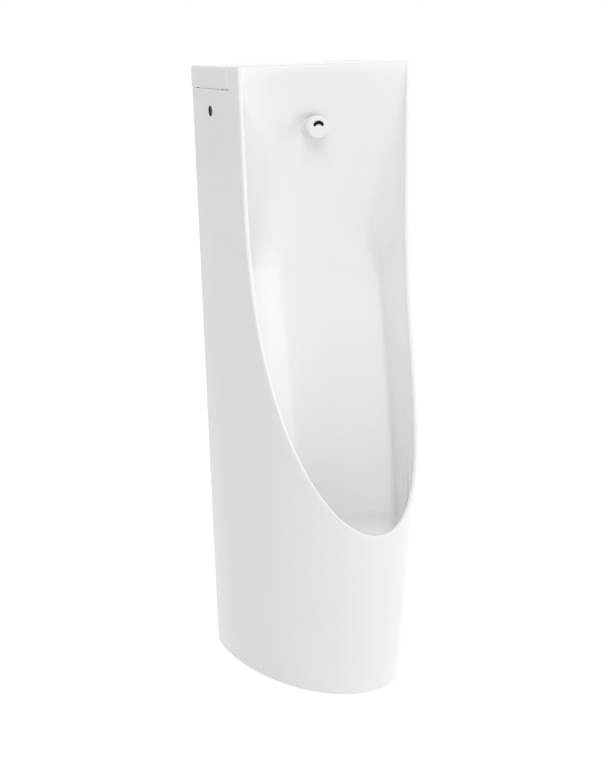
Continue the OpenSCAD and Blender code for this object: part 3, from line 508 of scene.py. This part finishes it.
# %% [markdown]
# ## The outer face
#
# The outer face is ruled: a straight line runs through each point of it, from the head down to the foot. It
# could be lofted between outlines, but the outlines would have to follow the rim. With its rule, each rim
# point only has to slide down its own line, and the rows fit the rim by themselves.

# %% The face under the rim
DOWN_N = 26


def down(z):
    """Heights from z to the floor, with even steps."""
    return [z * (1 - g / DOWN_N) for g in range(DOWN_N + 1)]


starts = [row[0] for row in rim_rows[TOP_N:]]
columns = []
for p in starts:
    d, z = WALL_Y - p.y * 1000, p.z * 1000
    t = math.pi / 2 if p is starts[-1] else angle(z, d, 0.0)
    columns.append([point(*on_skin(h, t, 0.0), h) for h in down(z)])
skin(bm, columns)
skin(bm, [mirrored(column) for column in columns])
print(f"{len(columns)} columns on each side under the rim")

# %% [markdown]
# Behind the rim the face is a plain sheet of the same lines, back to the wall. Its top rows follow the
# round upper edge, so that they meet the rim's own top rows. A loft of its own would do, but its lines
# would miss those of the front, and the light would break where the two meet.

# %% The face behind the rim
REAR_N = 22
z_top = HEIGHT - TOP_R
t_end = angle(z_top, TOP_D - OUT_R, 0.0)


def to_rim(z):
    """Angles from the wall to the rim, with even steps."""
    t_0 = angle(z, 0.0, 0.0)
    return [t_0 + (t_end - t_0) * i / REAR_N for i in range(REAR_N + 1)]


rows = []
for _, z, inset in levels[:TOP_N]:
    row = []
    for t in to_rim(z_top):
        d = on_skin(z_top, t, 0.0)[1] * (TOP_D - OUT_R - inset) / (TOP_D - OUT_R)
        row.append(point(side_x(z, d, inset), d, z))
    rows.append(row)
for z in down(z_top):
    rows.append([point(*on_skin(z, t, 0.0), z) for t in to_rim(z)])
skin(bm, rows)
skin(bm, [mirrored(row) for row in rows])
print(f"{len(rows)} rows on each side behind the rim")

# %% [markdown]
# What is still open is the top of the head, the foot, the side to the wall and the drain. Four flat faces
# close them, and the china is a solid that can be carved. They could be grids as well, but they are flat
# and hardly seen, and a filled loop needs no rows.

# %% The closed china
bmesh.ops.remove_doubles(bm, verts=bm.verts[:], dist=MERGE)
for z in (HEIGHT, 0.0):
    edge_at_wall(bm, z)
for z in (HEIGHT, 0.0):
    close_flat(bm, at_height(z))
close_flat(bm, at_wall)
close_flat(bm, at_height(FLOOR))
china = finish_mesh(bm, "china")
print(f"closed china skin: {len(china.data.polygons)} faces")

# %% [markdown]
# ## The hollows and the bores
#
# Real china is cast hollow, open at the back and underneath. An inner skin could be drawn like the outer
# one, but the openings between them are many. So each hollow is its own solid, and so is each bore, and an
# exact boolean takes them away one after another. What is left is a shell with an even wall.

# %% Lofts, boxes and rods
ROD_N = 72


def loft(name, rows):
    """A solid between outlines."""
    bm = bmesh.new()
    skin(bm, [row + [row[0]] for row in rows])
    bmesh.ops.remove_doubles(bm, verts=bm.verts[:], dist=MERGE)
    for row in (rows[0], rows[-1]):
        close_flat(bm, at_height(row[0].z * 1000))
    return finish_mesh(bm, name)


def box_solid(name, x, d, z):
    """A box from three pairs of limits."""
    bm = bmesh.new()
    size = Matrix.Diagonal([(pair[1] - pair[0]) / 1000 for pair in (x, d, z)] + [1])
    centre = Matrix.Translation(point(*[(pair[0] + pair[1]) / 2 for pair in (x, d, z)]))
    bmesh.ops.create_cube(bm, size=1.0, matrix=centre @ size)
    return finish_mesh(bm, name)


def rod(name, r, start, end):
    """A cylinder between two points."""
    bm = bmesh.new()
    way = end - start
    place = Matrix.Translation((start + end) / 2) @ way.to_track_quat("Z", "Y").to_matrix().to_4x4()
    round_ends = {"radius1": r / 1000, "radius2": r / 1000, "depth": way.length}
    bmesh.ops.create_cone(bm, cap_ends=True, segments=ROD_N, matrix=place, **round_ends)
    return finish_mesh(bm, name)


def carve(obj, tool, operation="DIFFERENCE"):
    mod = obj.modifiers.new("carve", "BOOLEAN")
    mod.operation, mod.object, mod.solver = operation, tool, "EXACT"
    done = bpy.data.meshes.new_from_object(obj.evaluated_get(bpy.context.evaluated_depsgraph_get()))
    obj.modifiers.clear()
    obj.data = done
    bpy.data.objects.remove(tool)


print(f"rods have {ROD_N} sides")

# %% [markdown]
# The hollow behind the bowl follows the bowl's back at an even distance, up into the head, where the flush
# gear sits. The one underneath follows the sides. Both start a little beyond the openings, so that the cut
# goes clean through. Plain boxes would leave thick lumps of china in the corners, which would crack in the
# kiln.

# %% The two hollows
COVER_H, SEAM, CLOSER = 34.0, 2.0, 0.4
LEDGE = HEIGHT - COVER_H - SEAM + CLOSER
REAR_GAP, REAR_SKIN, BEYOND = WALL * 1.25, WALL + 1.5, -20.0
REAR_LOW, REAR_HIGH = FLOOR - WALL - 14, LEDGE + 6
REAR_SIDE_N, REAR_BACK_N, REAR_LEVELS, UNDER_N = 8, 36, 40, 70
UNDER_HEIGHTS = (BEYOND, 60, 120, FLOOR - WALL)


def rear_ring(z):
    """An outline of the hollow behind the bowl."""
    middle, side = back(z, REAR_GAP)
    right = []
    for i in range(REAR_SIDE_N + 1):
        d = BEYOND + (side - BEYOND) * i / REAR_SIDE_N
        right.append((side_x(z, d, REAR_SKIN), d))
    x_side = side_x(z, side, REAR_SKIN)
    across = []
    for j in range(1, REAR_BACK_N):
        s = math.cos(math.pi * j / REAR_BACK_N)
        across.append((x_side * s, across_back(middle, side, s)))
    left = [(-x, d) for x, d in reversed(right)]
    return [point(x, d, z) for x, d in right + across + left]


def under_ring(z):
    """An outline of the hollow under the bowl."""
    t_0 = angle(z, BEYOND, WALL)
    turns = [t_0 + (math.pi - 2 * t_0) * i / UNDER_N for i in range(UNDER_N + 1)]
    return [point(*on_skin(z, t, WALL), z) for t in turns]


rear_heights = [REAR_LOW + (REAR_HIGH - REAR_LOW) * k / REAR_LEVELS for k in range(REAR_LEVELS + 1)]
carve(china, loft("rear", [rear_ring(z) for z in rear_heights]))
carve(china, loft("under", [under_ring(z) for z in UNDER_HEIGHTS]))
print(f"hollowed: {len(china.data.polygons)} faces")

# %% [markdown]
# A rail across the back stiffens the thin edges where the brackets pull the china to the wall. At the top
# the china steps down to a ledge for the cover, and low ribs on it keep the cover from sliding sideways.
# Boxes and lofts are added and taken away for them. The seam round the cover is a dark line in the
# photograph, so it is drawn closer than on the solid, with a shallow step behind it.

# %% The rail, the ledge and the ribs
RAIL_LOW, RAIL_HIGH, WIDE, BEHIND, ABOVE = HOLLOW_H - 90, HOLLOW_H - 30, 400, -30, HEIGHT + 40
COVER_D, COVER_WALL = 153.0, 8.0
RIB_IN, RIB_T, RIB_H, RIB_END, RIB_N = COVER_WALL, 3.5, 6.0, COVER_D - SEAM - COVER_WALL - 2, 6
STEP_IN, STEP_H = 2.2, 0.9
rail_w = side_x(HOLLOW_H, 0, 0) - WALL / 2
carve(china, box_solid("rail", (-rail_w, rail_w), (0, WALL), (RAIL_LOW, RAIL_HIGH)), "UNION")
carve(china, box_solid("ledge", (-WIDE, WIDE), (BEHIND, COVER_D - CLOSER), (LEDGE, ABOVE)))


def rib_line(turn, z, skin_in):
    """A line along one side of the ledge, from the wall to the rib's end."""
    places = [RIB_END * i / RIB_N for i in range(RIB_N + 1)]
    return [point(turn * side_x(z, d, skin_in), d, z) for d in places]


for turn in (-1, 1):
    for skin_out, skin_in, top in ((STEP_IN, RIB_IN + 1, STEP_H), (RIB_IN, RIB_IN + RIB_T, RIB_H)):
        heights = (LEDGE - 1, LEDGE + top)
        rows = [rib_line(turn, z, skin_out) + rib_line(turn, z, skin_in)[::-1] for z in heights]
        carve(china, loft("rib", rows), "UNION")
print(f"with its ledge and ribs: {len(china.data.polygons)} faces")

# %% [markdown]
# What is fastened to the china needs a hole: the spreader's stem through a boss, a screw through each side,
# the strainer in the floor, and a small notch to lift the cover by. Straight rods cut them, each through
# its own wall only. In the factory they are cut into the damp clay in the same way.

# %% The boss, the bores and the notch
SPREADER_Z, BOSS_R, BOSS_L, BOSS_PROUD = HEIGHT - 99, 16.0, 38.0, 0.5
STEM_BORE, STEM_FROM, STEM_TO = 10.3, 20, 160
SCREW_Z, SCREW_D, SCREW_BORE, RECESS_R, INSIDE, OUTSIDE = HEIGHT - 70, 80.0, 5.0, 8.75, -30, 9
DRAIN_FROM, PAST_FLOOR, SEAT_R, SEAT_DEEP, NOTCH_R = 120, 3, DRAIN_R + 6.3, 6, 4.0
boss_face = back(SPREADER_Z + BOSS_R)[0] + BOSS_PROUD
boss_back = point(0, boss_face - BOSS_L, SPREADER_Z)
carve(china, rod("boss", BOSS_R, boss_back, point(0, boss_face, SPREADER_Z)), "UNION")
carve(china, rod("stem_bore", STEM_BORE, point(0, STEM_FROM, SPREADER_Z), point(0, STEM_TO, SPREADER_Z)))
for turn in (-1, 1):
    middle, inside, outside = [
        point(turn * (half_w(SCREW_Z) + out), SCREW_D, SCREW_Z) for out in (-WALL / 2, INSIDE, OUTSIDE)
    ]
    carve(china, rod("recess", RECESS_R, middle, outside))
    carve(china, rod("screw_bore", SCREW_BORE, inside, outside))
over_drain = point(0, DRAIN_D, FLOOR + PAST_FLOOR)
carve(china, rod("drain", DRAIN_R, point(0, DRAIN_D, DRAIN_FROM), over_drain))
carve(china, rod("drain_seat", SEAT_R, point(0, DRAIN_D, FLOOR - SEAT_DEEP), over_drain))
carve(china, rod("notch", NOTCH_R, point(0, COVER_D, LEDGE - 1), point(0, COVER_D, HEIGHT + OUTSIDE)))
print(f"bored: {len(china.data.polygons)} faces")

# %% [markdown]
# The carved china is shaded again. It could keep the shading of the skin, but the cuts have brought new
# edges, and a bore with a soft edge looks like a dent. The china rides on the body of the frame that stands
# still, and takes the place of its solid.

# %% The china takes its place
bm = bmesh.new()
bm.from_mesh(china.data)
shade(bm, SHARP_CARVED)
bm.to_mesh(china.data)
bm.free()
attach(china, "urinal")
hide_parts("china_body")
print(f"china: {sum(e.use_edge_sharp for e in china.data.edges)} hard edges")

# %% [markdown]
# ## The cover
#
# The cover is a thin china lid with rounded edges, open below and towards the wall. A box with bevels would
# come close, but its sides have to follow the curved sides of the body. So one outline is drawn again and
# again: down inside, out under the skirt, up the outer face and over the upper edge.

# %% The cover's outline
CORNER, INNER_CORNER, CORNER_SHARE, OVERHANG = 5.0, 2.0, 0.8, 1
COVER_SIDE_N, COVER_CORNER_N, COVER_FRONT_N = 16, 8, 12


def outline(z, inset, r):
    """Half an outline of the cover, from its back to the middle of its front edge."""
    d_1 = COVER_D - SEAM + CLOSER - inset
    half = []
    for i in range(COVER_SIDE_N + 1):
        d = (d_1 - r) * i / COVER_SIDE_N
        half.append((side_x(z, d, inset - OVERHANG), d))
    xc, dc = half[-1][0] - r, d_1 - r
    for i in range(1, COVER_CORNER_N + 1):
        a = math.pi / 2 * i / COVER_CORNER_N
        half.append((xc + r * math.cos(a), dc + r * math.sin(a)))
    half += [(xc * (1 - i / COVER_FRONT_N), d_1) for i in range(1, COVER_FRONT_N + 1)]
    return [point(x, d, z) for x, d in half]


def both(half):
    return half + mirrored(half)[-2::-1]


print(f"an outline has {len(both(outline(HEIGHT, 0.0, CORNER)))} points")

# %% [markdown]
# The skirt ends just above the ledge, with a small chamfer. The corners get tighter as the upper edge
# rounds inwards, so that the rounding stays even all round. With one corner radius for all outlines, the
# rounding would be wider at the corners than along the sides.

# %% The cover
EDGE_R, CHAMFER = 5.0, 0.8
skirt, ceiling = HEIGHT - COVER_H - CLOSER, HEIGHT - COVER_WALL
stages = [(ceiling, COVER_WALL, INNER_CORNER), (skirt, COVER_WALL, INNER_CORNER)]
stages += [(skirt, CHAMFER, CORNER - CHAMFER), (skirt + CHAMFER, 0.0, CORNER), (HEIGHT - EDGE_R, 0.0, CORNER)]
for a in QUARTER[1:]:
    inset, sunk = rounding(EDGE_R, a)
    stages.append((HEIGHT - sunk, inset, CORNER - CORNER_SHARE * inset))
bm = bmesh.new()
skin(bm, [both(outline(z, inset, r)) for z, inset, r in stages])
bmesh.ops.remove_doubles(bm, verts=bm.verts[:], dist=MERGE)
for z in (HEIGHT, ceiling):
    edge_at_wall(bm, z)
    close_flat(bm, at_height(z))
close_flat(bm, at_wall)
cover = finish_mesh(bm, "cover")
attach(cover, "cover")
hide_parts("top_cover")
print(f"cover: {len(cover.data.polygons)} faces")

# %% [markdown]
# ## The sensor window
#
# The black window is the one dark mark on the object, so its outline matters. It is an arched band that is
# broad in the middle and narrower at its ends. It could be drawn anew, but then the recess in the cap would
# have to be cut again too. Instead, copies of both solids are taken, and the points near the arch are drawn
# together towards its middle line, so that the two still fit.

# %% The tapered arch
ARCH_R, ARCH_END, ARCH_NEAR, ARCH_FAR = 7.8, math.radians(67), 4, 12
TAPER, DROOP = 0.36, 0.012


def drawn_in(x, z):
    """Where a point near the arch goes, measured from the middle of the cap."""
    a = max(-ARCH_END, min(ARCH_END, math.atan2(x, z)))
    mx, mz = ARCH_R * math.sin(a), ARCH_R * math.cos(a)
    k = 1 - TAPER * (a / ARCH_END) ** 2
    return mx + (x - mx) * k, mz + (z - mz) * k + DROOP * x * x


def tapered(name):
    """A copy of a solid with its arch drawn in, in the solid's place."""
    bm = bmesh.new()
    bm.from_mesh(nodes[name].data)
    bmesh.ops.remove_doubles(bm, verts=bm.verts[:], dist=MERGE)
    for v in bm.verts:
        x, z = v.co.x * 1000, v.co.z * 1000 - SPREADER_Z
        if ARCH_NEAR < math.hypot(x, z) < ARCH_FAR:
            x, z = drawn_in(x, z)
            v.co.x, v.co.z = x / 1000, (z + SPREADER_Z) / 1000
    shade(bm, SHARP_CARVED)
    obj = to_object(bm, name + "_look")
    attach(obj, "urinal")
    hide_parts(name)
    print(f"{name}: {len(obj.data.polygons)} faces")
    return obj


cap = tapered("spreader_cap")
window = tapered("sensor_window")

# %% [markdown]
# ## The plunger's spring
#
# The spring stands in a bore of the valve's plunger and presses it down. When the coil lifts the plunger,
# the spring has to get shorter. Here a copy of it, with a mesh of its own, takes the solid's place and keeps
# the solid's length.

# %% A copy of the spring
bm = bmesh.new()
bm.from_mesh(nodes["plunger_spring"].data)
spring = finish_mesh(bm, "spring")
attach(spring, "urinal")
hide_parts("plunger_spring")
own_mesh(spring)

# %% [markdown]
# ## The materials
#
# Real surfaces are never quite even: glaze waves a little, and metal has fine lines. Pictures of such
# surfaces would need a layout on every piece. A noise in object space needs none, and stays put when a
# piece moves. Two helpers make it and bring it into a range.

# %% An uneven value
DETAIL = 4.0


def grain(tree, stretch, scale):
    """A noise in object space."""
    place = tree.nodes.new("ShaderNodeTexCoord")
    mapping = tree.nodes.new("ShaderNodeMapping")
    mapping.inputs["Scale"].default_value = stretch
    noise = tree.nodes.new("ShaderNodeTexNoise")
    noise.inputs["Scale"].default_value = scale
    noise.inputs["Detail"].default_value = DETAIL
    tree.links.new(place.outputs["Object"], mapping.inputs["Vector"])
    tree.links.new(mapping.outputs["Vector"], noise.inputs["Vector"])
    return noise.outputs["Fac"]


def ranged(tree, value, lowest, highest):
    """A value from 0 to 1, brought between two limits."""
    limits = tree.nodes.new("ShaderNodeMapRange")
    limits.inputs["To Min"].default_value = lowest
    limits.inputs["To Max"].default_value = highest
    tree.links.new(value, limits.inputs["Value"])
    return limits.outputs["Result"]


print(f"grain with a detail of {DETAIL}")

# %% [markdown]
# Each finish could be built on its own, but they differ in a few numbers only. So one helper makes them
# all. The noise darkens the colour by at most tint, moves the roughness by at most spread, and raises a
# fine relief where bump asks for one. All that is even stays a plain number.

# %% Making a material
COAT_ROUGH, RELIEF = 0.1, 0.0004


def material(
    name, color, rough, metal=0.0, coat=0.0, gloss=0.5,
    stretch=(1, 1, 1), scale=40.0, spread=0.03, tint=0.02, bump=0.0,
):
    """A material whose colour and roughness follow a noise in object space."""
    mat = bpy.data.materials.new(name)
    mat.use_nodes = True
    tree = mat.node_tree
    link = tree.links.new
    shader = tree.nodes["Principled BSDF"]
    shader.inputs["Metallic"].default_value = metal
    shader.inputs["Coat Weight"].default_value = coat
    shader.inputs["Coat Roughness"].default_value = COAT_ROUGH
    shader.inputs["Specular IOR Level"].default_value = gloss
    noise = grain(tree, stretch, scale)
    mix = tree.nodes.new("ShaderNodeVectorMath")
    mix.operation = "SCALE"
    mix.inputs[0].default_value = color
    link(ranged(tree, noise, 1 - tint, 1.0), mix.inputs["Scale"])
    link(mix.outputs["Vector"], shader.inputs["Base Color"])
    link(ranged(tree, noise, max(0.0, rough - spread), rough + spread), shader.inputs["Roughness"])
    if bump:
        relief = tree.nodes.new("ShaderNodeBump")
        relief.inputs["Strength"].default_value = bump
        relief.inputs["Distance"].default_value = RELIEF
        link(noise, relief.inputs["Height"])
        link(relief.outputs["Normal"], shader.inputs["Normal"])
    return mat


glaze = material("glaze", (0.95, 0.95, 0.942), 0.12, coat=0.5, scale=9.0, spread=0.015, tint=0.012)
print(f"{glaze.name}: {len(glaze.node_tree.nodes)} nodes")

# %% [markdown]
# Vitreous china is white clay under a thin layer of glass, so its glaze is smooth and has a coat. The small
# parts are of plastic, rubber, zinc-plated and blackened steel and brass, each with its own grain. The black
# of the blackened steel on the side screws is partly painted shade: it also stands in for the shade in their
# recesses. Lines along the steel come from a noise that is stretched, which is simpler than a texture of
# brushed metal.

# %% The finishes
BRUSHED = (1, 1, 30)
looks = {
    "china": glaze,
    "white_plastic": material("white_plastic", (0.86, 0.86, 0.85), 0.25, scale=60.0),
    "black_plastic": material("black_plastic", (0.006, 0.006, 0.007), 0.15, scale=60.0, gloss=0.2),
    "grey_plastic": material("grey_plastic", (0.26, 0.27, 0.29), 0.45, scale=220.0, bump=0.15),
    "black_rubber": material("black_rubber", (0.018, 0.018, 0.018), 0.75, scale=400.0, bump=0.3),
    "steel": material(
        "steel", (0.6, 0.61, 0.63), 0.3, metal=1.0, stretch=BRUSHED, scale=50.0, spread=0.08, tint=0.12
    ),
    # Painted shade, in part: the side screws are black so that their recesses look dark, as shade would make
    # them.
    "black_steel": material("black_steel", (0.02, 0.02, 0.022), 0.35, metal=0.6, scale=120.0, spread=0.05),
    "brass": material("brass", (0.72, 0.5, 0.2), 0.28, metal=1.0, scale=90.0, spread=0.06, tint=0.1),
    "board_green": material("board_green", (0.02, 0.14, 0.05), 0.4, scale=300.0, tint=0.3),
    "battery_case": material("battery_case", (0.35, 0.27, 0.1), 0.3, metal=0.6, scale=80.0),
}
print(f"finishes: {', '.join(looks)}")

# %% [markdown]
# The record of the solid model says which finish each solid has. The pieces could be dressed one by one,
# but with that table a new solid needs no line of its own. Only the pieces drawn here are named.

# %% Every piece gets its finish
def dress(obj, slot):
    obj.data.materials.clear()
    obj.data.materials.append(looks[slot])


slots = {part["node"]: part["material_slot"] for part in frame["record"]["subparts"]}
for name, node in nodes.items():
    dress(node, slots[name])
for obj in (china, cover):
    dress(obj, "china")
dress(cap, "white_plastic")
dress(window, "black_plastic")
dress(spring, "steel")
print(f"{len(looks)} materials on {len(nodes)} solids")

# %% [markdown]
# ## The camera
#
# The camera stands to the left of the object and looks slightly down. It could be moved by eye until the
# picture fits, but three angles, a place and a focal length say it exactly. They were found from the
# photograph's edges: the seams, the rim, the foot and the upright edges.

# %% The camera
TURN, TILT, ROLL = math.radians(23.93), math.radians(13.36), math.radians(-1.20)
EYE, FOCAL_PX, PICTURE_PX, SENSOR = (-1.005, -2.159, 1.063), 1500, 758, 36
ahead = Vector((math.sin(TURN) * math.cos(TILT), math.cos(TURN) * math.cos(TILT), -math.sin(TILT)))
level_right = Vector((math.cos(TURN), -math.sin(TURN), 0))
level_up = level_right.cross(ahead)
right = level_right * math.cos(ROLL) + level_up * math.sin(ROLL)
up = level_up * math.cos(ROLL) - level_right * math.sin(ROLL)
lens = bpy.data.cameras.new("camera")
lens.sensor_width = SENSOR
lens.lens = FOCAL_PX * SENSOR / PICTURE_PX
lens.clip_end = 50
camera = bpy.data.objects.new("camera", lens)
camera.matrix_world = Matrix.Translation(EYE) @ Matrix((right, up, -ahead)).transposed().to_4x4()
bpy.context.scene.collection.objects.link(camera)
bpy.context.scene.camera = camera
print(f"camera {camera.matrix_world.translation.length:.2f} m from the middle of the foot")

# %% [markdown]
# ## The light
#
# A white studio surrounds the object. Lit as brightly as it looks, the china would lose its shades. The
# studio could be made darker, but then the background would be grey. So its nodes ask what kind of ray has
# come, and one that ends up in the picture meets a brighter white than one that carries light.

# %% Rays that end up in the picture
def seen_by_eye(tree):
    """1 for rays that end up in the picture: straight from the camera, mirrored or let through."""
    ways = tree.nodes.new("ShaderNodeLightPath")
    sums = [tree.nodes.new("ShaderNodeMath") for _ in range(2)]
    for add in sums:
        add.operation = "MAXIMUM"
    tree.links.new(ways.outputs["Is Camera Ray"], sums[0].inputs[0])
    tree.links.new(ways.outputs["Is Glossy Ray"], sums[0].inputs[1])
    tree.links.new(sums[0].outputs[0], sums[1].inputs[0])
    tree.links.new(ways.outputs["Is Transmission Ray"], sums[1].inputs[1])
    return sums[1].outputs[0]


world = bpy.data.worlds.new("studio")
bpy.context.scene.world = world
world.use_nodes = True
tree = world.node_tree
tree.nodes.clear()
for_eye = seen_by_eye(tree)
print(f"{len(tree.nodes)} nodes tell the rays apart")

# %% [markdown]
# The backdrop is one even white all round. A picture of a real studio could light the object too, but it
# would put windows and corners into the glaze.

# %% The white studio
SOFT, WHITE = 0.49, 1.0


def backdrop(tree, strength):
    """White from all round."""
    light = tree.nodes.new("ShaderNodeBackground")
    light.inputs["Color"].default_value = (1.0, 1.0, 1.0, 1)
    light.inputs["Strength"].default_value = strength
    return light.outputs["Background"]


choose = tree.nodes.new("ShaderNodeMixShader")
out = tree.nodes.new("ShaderNodeOutputWorld")
tree.links.new(for_eye, choose.inputs["Fac"])
tree.links.new(backdrop(tree, SOFT), choose.inputs[1])
tree.links.new(backdrop(tree, WHITE), choose.inputs[2])
tree.links.new(choose.outputs["Shader"], out.inputs["Surface"])
print(f"backdrop: {WHITE} in the picture, {SOFT} as a light")

# %% [markdown]
# A product table has large soft lights, which give soft shadows and no hard spots. In the photograph the
# right half of the front is the brighter one, so the key light stands at the right. The second light looks
# down into the bowl. It is hidden from mirrored rays, because its image in the glaze would be a bright
# square.

# %% The lamps
def soft_light(name, place, aim, size, power):
    """A large rectangular lamp that looks from its place to its aim."""
    lamp = bpy.data.lights.new(name, "AREA")
    lamp.shape = "RECTANGLE"
    lamp.size, lamp.size_y = size
    lamp.energy = power
    obj = bpy.data.objects.new(name, lamp)
    obj.location = place
    obj.rotation_mode = "QUATERNION"
    obj.rotation_quaternion = (Vector(aim) - Vector(place)).to_track_quat("-Z", "Y")
    bpy.context.scene.collection.objects.link(obj)
    return obj


lamps = [
    soft_light("key", (2.6, -1.6, 1.1), (0, 0, 0.5), (2.8, 2.2), 22.0),
    soft_light("bowl", (-0.8, -2.1, 2.2), (0, 0, 0.4), (1.2, 1.2), 27.0),
]
lamps[1].visible_glossy = False
print(f"{len(lamps)} lamps, {sum(lamp.data.energy for lamp in lamps):.0f} watts")

# %% [markdown]
# The floor is matt white paper. A bare backdrop would leave the object floating, and plain paper comes out
# grey. So the rays that end up in the picture see the paper glow a little: it looks as white as the
# backdrop and yet keeps the shadow of the foot.

# %% The paper floor
PAPER_SIZE, PAPER_Z, GLOW = 8.0, -0.0005, 0.58
bm = bmesh.new()
under_foot = Matrix.Translation((0, 0, PAPER_Z))
bmesh.ops.create_grid(bm, x_segments=2, y_segments=2, size=PAPER_SIZE, matrix=under_foot)
ground = finish_mesh(bm, "ground")
paper = material("paper", (0.9, 0.9, 0.9), 0.9, scale=3.0, tint=0.01)
tree = paper.node_tree
glow = tree.nodes.new("ShaderNodeEmission")
glow.inputs["Strength"].default_value = GLOW
shine = tree.nodes.new("ShaderNodeMixShader")
both_lit = tree.nodes.new("ShaderNodeAddShader")
shader = tree.nodes["Principled BSDF"]
tree.links.new(shader.outputs["BSDF"], both_lit.inputs[0])
tree.links.new(glow.outputs["Emission"], both_lit.inputs[1])
tree.links.new(seen_by_eye(tree), shine.inputs["Fac"])
tree.links.new(shader.outputs["BSDF"], shine.inputs[1])
tree.links.new(both_lit.outputs["Shader"], shine.inputs[2])
tree.links.new(shine.outputs["Shader"], tree.nodes["Material Output"].inputs["Surface"])
ground.data.materials.append(paper)
bpy.context.scene.view_settings.view_transform = "Standard"
print(f"floor: {len(ground.data.polygons)} faces, glowing by {GLOW}")
